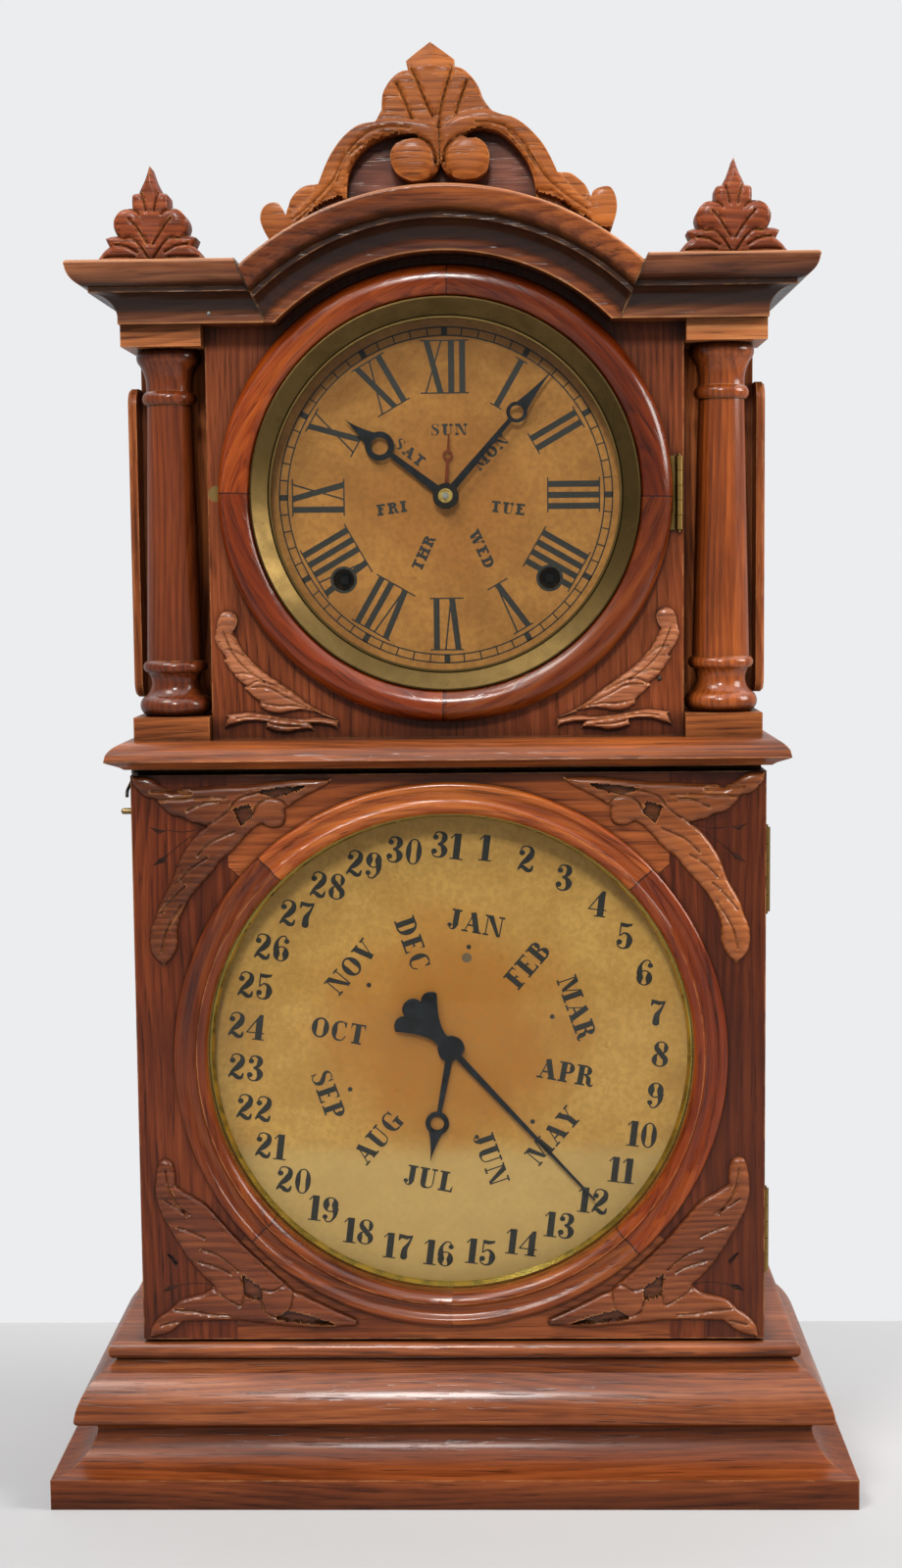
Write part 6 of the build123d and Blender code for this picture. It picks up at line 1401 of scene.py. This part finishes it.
TACK = (8.6, 47.4, 2.6)
day_face = typeface(0.05)
month_face = typeface(0.09)
calendar_ink = Print(CALENDAR_FACE)
for day in range(1, 32):
    x, z = on_dial(FIRST_DAY_AT + DAY_STEP * (day - 1), DAY_RING, 0.0, PRINT_CENTRE)
    calendar_ink.word(str(day), day_face, x, z, DAY_HIGH, DAY_LEAN)
for number, month in enumerate(MONTHS):
    angle = MONTH_TURN + 30.0 * number
    sideways = number % 2 == 1
    x, z = on_dial(angle, SIDEWAYS_MONTH_AT if sideways else ROUND_MONTH_AT, 0.0, PRINT_CENTRE)
    # No word stands on its head
    lean = (angle + (0.0 if sideways else 90.0)) % 180.0 - 90.0
    calendar_ink.word(month, month_face, x, z, MONTH_HIGH, lean, wide=1.14)
calendar_ink.strokes([ball(x, CALENDAR_Z + z, DOT_R) for x, z in DOTS])
calendar_ink.done("calendar_dial_print", ink_and_hole_shade)
# The pale low colour is a painted reflection of the glass over the paper's foot
dress("calendar_dial", old_paper("calendar_paper", tint(206, 157, 84), tint(188, 138, 70), tint(172, 101, 28),
                                 CALENDAR_Z + 4.0, 0.088, low=tint(196, 164, 108)))
tack_mix = Recipe("tack_grey")
tack_colour = tack_mix.blend(tack_mix.cloud(tack_mix.place(), 800.0), tint(88, 68, 46), tint(108, 84, 56))
tack = Print(CALENDAR_FACE)
tack.strokes([ball(TACK[0], CALENDAR_Z + TACK[1], TACK[2])])
tack.done("calendar_dial_tack", tack_mix.finish(tack_colour, 0.6))

# The date hand is a long taper with a scalloped fan for its tail, sawn from sheet steel and
# filed to a small bevel. It is drawn pointing up.
DATE_ANGLE = 137.3
DATE_FRONT = 45.6
DATE_BACK = 46.6
DATE_HUB = 7.2
date_hand_runs = [
    [(-1.7, 5.0)], [(-0.5, 110.0)], [(0.5, 110.0)], [(1.7, 5.0)], [(5.2, 5.0), (DATE_HUB, 0.0), (5.2, -4.8)],
    [(3.4, -6.6), (4.6, -12.0), (8.6, -19.0), (14.8, -26.4)],
    [(13.6, -28.8), (10.6, -30.6), (7.6, -30.4), (5.8, -29.0)],
    [(4.6, -32.2), (1.8, -34.0), (-1.8, -34.0), (-4.6, -32.2), (-5.8, -29.0)],
    [(-7.6, -30.4), (-10.6, -30.6), (-13.6, -28.8), (-14.8, -26.4)],
    [(-8.6, -19.0), (-4.6, -12.0), (-3.4, -6.6), (-5.2, -4.8)], [(-DATE_HUB, 0.0), (-5.2, 5.0), (-1.7, 5.0)],
]
date_turn = math.radians(DATE_ANGLE)
set_to_date = np.array([[math.cos(date_turn), -math.sin(date_turn)],
                        [math.sin(date_turn), math.cos(date_turn)]])
date_edge = outline_of(date_hand_runs, 1.0) @ set_to_date + np.array((0.0, CALENDAR_Z))


def date_hand_depth(p):
    """The front of the hand, with its bevel."""
    return DATE_FRONT + 0.35 * (1.0 - dome(away(p, date_edge, closed=True), 0.5))


date_hand = relief("date_hand_fan", date_edge, [], date_hand_depth, DATE_BACK, 1.6, hand_steel, "date_body")
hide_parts("date_hand")

# ---------------------------------------------------------------- calendar door
# The front of the lower case is a door: two stiles and two rails of walnut, cut out to a
# round opening, with a sprig of leaves carved in each corner. A turned cherry ring in four
# pieces frames the opening, with a brass sight ring and a glass behind it. The sprigs are
# drawn for the left corners.
DOOR_FACE = 29.0
DOOR_CARVED = 25.8
RAIL_HALF = 112.0
DOOR_STRIP = 368.6
STILE_SHADE = (0.128, 0.131)

upper_sprig = [
    [(-160.2, 374.2)], [(-153.5, 374.2), (-148.8, 372.5), (-144.5, 369.0), (-139.0, 366.3)],
    [(-134.6, 368.0), (-126.0, 368.4), (-113.0, 369.2), (-100.1, 369.7), (-87.1, 371.1), (-74.2, 372.4),
     (-58.3, 372.2)],
    [(-61.3, 369.2), (-68.3, 365.4), (-75.2, 361.9), (-80.0, 358.5), (-82.7, 357.1)],
    [(-82.3, 353.8), (-82.8, 350.3), (-84.5, 348.2), (-88.4, 347.5), (-91.9, 348.2), (-94.3, 349.5)],
    [(-97.9, 347.8), (-103.2, 342.7), (-109.4, 335.8), (-115.5, 331.0), (-119.1, 326.2), (-124.4, 320.2),
     (-129.8, 314.1), (-133.8, 308.0), (-137.0, 301.0), (-138.4, 295.8)],
    [(-138.3, 287.9), (-140.9, 281.8), (-145.8, 276.5)],
    [(-150.5, 280.9), (-152.6, 285.4), (-152.9, 291.5), (-151.9, 296.8), (-149.6, 302.0), (-148.1, 307.2),
     (-145.4, 312.5), (-141.9, 318.5), (-139.6, 324.4), (-137.2, 330.7), (-133.6, 336.8), (-128.3, 343.7),
     (-123.0, 348.4)],
    [(-126.4, 349.8), (-130.7, 350.7), (-135.0, 352.9), (-140.1, 354.2), (-143.5, 356.8), (-146.5, 359.9),
     (-148.6, 362.5), (-153.7, 363.8), (-157.1, 366.9), (-159.6, 369.9)],
]
upper_cuts = [
    [(-150.2, 366.8), (-144.2, 366.8), (-138.1, 366.3), (-130.0, 365.6)],
    [(-150.4, 361.4), (-142.5, 362.4), (-134.8, 362.4), (-126.1, 363.2), (-112.3, 363.2)],
    [(-131.9, 356.7), (-123.6, 360.4), (-116.4, 361.3)],
    [(-127.2, 333.7), (-120.5, 340.2), (-114.3, 343.3), (-108.0, 346.0)],
    [(-136.1, 321.1), (-130.4, 327.3), (-122.2, 332.6)],
    [(-146.5, 304.2), (-140.3, 311.8), (-133.9, 318.0)],
    [(-146.8, 284.3), (-145.0, 292.3), (-141.6, 299.9), (-136.0, 308.4)],
    [(-98.7, 354.3), (-96.0, 359.6), (-90.0, 362.6), (-84.0, 361.4), (-81.4, 358.0)],
    [(-123.0, 348.4), (-116.0, 352.6), (-110.6, 357.0), (-106.0, 362.6), (-95.0, 366.0)],
]
upper_diamond = [(-108.5, 357.0), (-100.7, 359.8), (-98.7, 354.3), (-104.8, 348.3)]
upper_slit = [(-96.0, 366.2), (-84.0, 368.0), (-71.7, 368.6), (-78.6, 365.7), (-87.0, 363.2)]
lower_sprig = [
    [(-151.6, 171.7)], [(-150.4, 174.6), (-147.3, 175.8), (-143.9, 173.7), (-142.4, 167.7), (-142.5, 161.6)],
    [(-137.1, 158.0), (-129.2, 153.4)],
    [(-126.2, 151.0), (-118.8, 142.5), (-109.7, 132.1), (-98.6, 121.2), (-89.8, 113.0), (-84.2, 108.1)],
    [(-82.0, 105.4), (-77.9, 104.1), (-67.8, 98.9), (-59.4, 94.9), (-49.3, 90.2)],
    [(-49.3, 87.0)], [(-68.0, 85.8), (-85.0, 86.7), (-102.0, 88.7), (-113.9, 89.8), (-127.5, 89.8),
     (-139.5, 89.4)],
    [(-142.9, 86.8), (-148.1, 82.9), (-157.8, 80.7)],
    [(-156.6, 86.8), (-152.2, 92.1), (-147.0, 95.6), (-141.8, 100.4), (-135.8, 102.5), (-128.9, 104.3),
     (-123.7, 108.2)],
    [(-129.6, 113.8), (-136.2, 121.7), (-139.9, 127.4), (-143.6, 133.9), (-147.6, 140.8), (-150.9, 147.8),
     (-153.2, 156.5), (-152.9, 165.0), (-151.6, 171.7)],
]
lower_cuts = [
    [(-129.3, 128.0), (-122.5, 125.6), (-116.7, 121.6), (-110.8, 116.4)],
    [(-131.1, 121.6), (-121.8, 118.6), (-115.0, 115.2)],
    [(-141.5, 139.8), (-135.6, 137.6), (-127.6, 134.0)],
    [(-148.0, 154.0), (-142.0, 150.0), (-135.0, 146.4)],
    [(-147.4, 170.0), (-146.4, 162.0), (-143.0, 154.0), (-137.0, 146.0)],
    [(-143.9, 95.7), (-133.4, 94.9), (-125.8, 93.4), (-116.0, 92.6)],
    [(-151.9, 87.6), (-143.2, 89.6)],
    [(-123.7, 107.3), (-118.7, 102.8), (-110.3, 98.1), (-108.6, 101.6), (-108.0, 106.8), (-109.6, 112.1)],
    [(-98.3, 106.8), (-93.2, 105.8), (-88.0, 108.5), (-84.2, 108.1)],
    [(-82.6, 104.1), (-83.6, 98.0), (-85.7, 94.6), (-91.7, 91.9), (-97.0, 94.6), (-98.8, 99.8)],
]
lower_diamond = [(-109.0, 115.0), (-99.0, 107.4), (-98.8, 100.6), (-107.8, 103.2)]
lower_slit = [(-91.0, 91.3), (-84.9, 95.5), (-76.4, 93.7), (-60.8, 88.4), (-72.2, 88.6), (-85.0, 90.2)]


def sprig(name, runs, cuts, diamond, slit, woods):
    """One corner's carving, with a diamond and a slit sunk in it, and its mirror image."""
    edge = outline_of(runs, 1.0)
    cut_lines = [stroke(cut, 0.9) for cut in cuts]
    holes = [np.array(diamond), outline_of([[point] for point in slit], 1.0)]
    ground = DOOR_FACE - 0.7

    def depth_at(p):
        depth = ground - (ground - DOOR_CARVED) * dome(away(p, edge, closed=True), 4.6)
        for line in cut_lines:
            depth += groove(p, line, 1.1, 1.1)
        for hole in holes:
            depth = np.where(inside(p, hole), DOOR_FACE - 0.1, depth)
        return depth

    lines = cut_lines + [outline_of([[(x, z)] for x, z in hole], 0.8) for hole in holes]
    sprig = (edge, lines, depth_at)
    for side, wood, carving in (("_left", woods[0], sprig), ("_right", woods[1], mirrored(*sprig))):
        relief(name + side, *carving, DOOR_FACE + 0.5, 1.05, wood, "calendar_door_body")


def jointed(name, seed, joint_at, top_colours, low_colours, stile_colours):
    """Wood in four pieces: rails with level grain above and below, stiles with upright grain.

    Rail and stile meet where the height over the middle is joint_at times the distance across."""
    recipe = Recipe(name)
    place = recipe.place()
    x, _, z = recipe.parts(place)
    up = recipe.maths("SUBTRACT", z, CALENDAR_Z / 1000.0)
    across = recipe.maths("ABSOLUTE", x)
    side = recipe.maths("MULTIPLY", across, joint_at)
    top = wood_colour(recipe, place, "X", seed, *top_colours, rings=240.0)
    low = wood_colour(recipe, place, "X", seed + 3.0, *low_colours, rings=240.0)
    stile = wood_colour(recipe, place, "Z", seed + 6.0, *stile_colours, rings=240.0)
    middle = recipe.maths("LESS_THAN", across, RAIL_HALF / 1000.0)
    high = recipe.maths("ABSOLUTE", up)
    is_rail = recipe.maths("MULTIPLY", recipe.maths("GREATER_THAN", high, side), middle)
    is_top = recipe.maths("GREATER_THAN", up, 0.0)
    colour = recipe.blend(is_rail, stile[0], recipe.blend(is_top, low[0], top[0]))
    height = recipe.maths("ADD", recipe.maths("MULTIPLY", stile[1], recipe.maths("SUBTRACT", 1.0, is_rail)),
                          recipe.maths("MULTIPLY", top[1], is_rail))
    # Painted shadow: the strip of door just under the waist board is darkened as that board's shadow
    painted_shadow_under_waist = recipe.fade(z, DOOR_STRIP / 1000.0, DOOR_STRIP / 1000.0 + 0.0025, 0.0, 0.75)
    colour = recipe.blend(painted_shadow_under_waist, colour, stile_colours[0])
    colour = recipe.blend(recipe.fade(x, *STILE_SHADE, 0.0, 0.50), colour, stile_colours[0])
    line = recipe.maths("MULTIPLY", middle, seam(recipe, recipe.maths("SUBTRACT", high, side), 0.0005))
    colour = recipe.blend(recipe.maths("MULTIPLY", line, 0.8), colour, tint(28, 12, 8))
    return varnish(recipe, colour, height, stile[2], stile_colours[0], gloss=0.34, coat=0.16)


def carved_walnut(name, seed, dark, mid, light):
    """The board's own wood where the gouge has been, with dirt and painted shade in the cuts."""
    return varnished(name, "X", seed, mid, light, dark, gloss=0.28, coat=0.30, reach=0.009, pores=0.45)


dress("calendar_door", jointed("door_walnut", 41.0, 0.88,
                               (tint(84, 38, 18), tint(142, 74, 36), tint(182, 104, 54)),
                               (tint(60, 26, 13), tint(110, 54, 27), tint(150, 82, 42)),
                               (tint(48, 19, 10), tint(92, 40, 19), tint(132, 64, 30))))
CALENDAR_STAINS = (RED_STAIN, tint(190, 182, 164), tint(168, 148, 122), tint(236, 222, 196))
dress("calendar_door_ring", turned_ring("calendar_ring_cherry", CALENDAR_Z, 52.0, 47.0, 0.24, 0.42,
                                        CALENDAR_STAINS))
sprig("upper_sprig", upper_sprig, upper_cuts, upper_diamond, upper_slit,
      (carved_walnut("upper_left_carved", 61.0, tint(46, 21, 11), tint(92, 46, 24), tint(136, 76, 42)),
       carved_walnut("upper_right_carved", 62.0, tint(66, 31, 14), tint(126, 68, 34), tint(170, 100, 54))))
sprig("lower_sprig", lower_sprig, lower_cuts, lower_diamond, lower_slit,
      (carved_walnut("lower_left_carved", 63.0, tint(48, 21, 11), tint(96, 47, 26), tint(136, 74, 41)),
       carved_walnut("lower_right_carved", 64.0, tint(54, 25, 12), tint(108, 55, 29), tint(148, 84, 46))))

# Gouge cuts, each a lens with a tail, that fill the ground beside the leaves. They are flat dark films: their
# dark is dirt in the cuts and painted shade of the hollows
GOUGES = [
    ([(-151.9, 348.2), (-146.8, 346.9), (-142.5, 346.4), (-147.3, 344.7)],
     [(-142.6, 346.6), (-134.0, 345.6), (-123.8, 347.6)]),
    ([(-150.7, 328.2), (-147.1, 332.1), (-142.8, 333.8), (-145.0, 329.9)],
     [(-143.4, 333.4), (-136.1, 339.4), (-130.0, 343.7)]),
    ([(-148.4, 125.6), (-145.1, 124.3), (-142.2, 120.8), (-143.5, 118.2)],
     [(-147.6, 125.0), (-142.6, 119.6)]),
    ([(-151.0, 104.7), (-147.5, 108.2), (-141.6, 108.6), (-145.6, 105.8)],
     [(-142.0, 108.4), (-132.2, 109.5), (-123.7, 108.2)]),
]
gouged = Print(DOOR_FACE)
for lens, tail in GOUGES:
    for side in (1, -1):
        gouged.strokes([(outline_of([[point] for point in lens], 0.8) * np.array([side, 1.0]))[::side]])
        gouged.strokes([ribbon([(x * side, z) for x, z in tail], [0.5, 0.35])])
gouge_mix = Recipe("gouge_walnut")
gouge_tone = gouge_mix.cloud(gouge_mix.lay(gouge_mix.place(), scale=(90.0, 90.0, 400.0)), 1.0, 3.0, 0.6)
gouge_dirt_and_shade = gouge_mix.blend(gouge_mix.fade(gouge_tone, 0.35, 0.65), tint(20, 9, 5), tint(54, 28, 17))
gouge_walnut = gouge_mix.finish(gouge_dirt_and_shade, 0.45, Coat_Weight=0.08, Specular_IOR_Level=0.12)
gouged.done("door_gouge_marks", gouge_walnut, "calendar_door_body")
dress("calendar_sight_ring", old_brass("sight_brass", tint(206, 188, 100), tint(140, 122, 60), 0.20, 0.3))
dress("calendar_hinge_leaves", old_brass("door_hinge_brass", tint(132, 106, 60), tint(78, 62, 36)))

# ---------------------------------------------------------------- hook and pin
# A wire hook turns on a screw at the left of the case and drops over a brass pin in the
# edge of the door, to keep the door shut.
dress("door_hook", dark_steel("hook_wire", tint(74, 68, 62), tint(44, 38, 34), 0.36, 0.3))
dress("hook_pin", old_brass("pin_brass", tint(128, 108, 74), tint(74, 60, 40), 0.36))
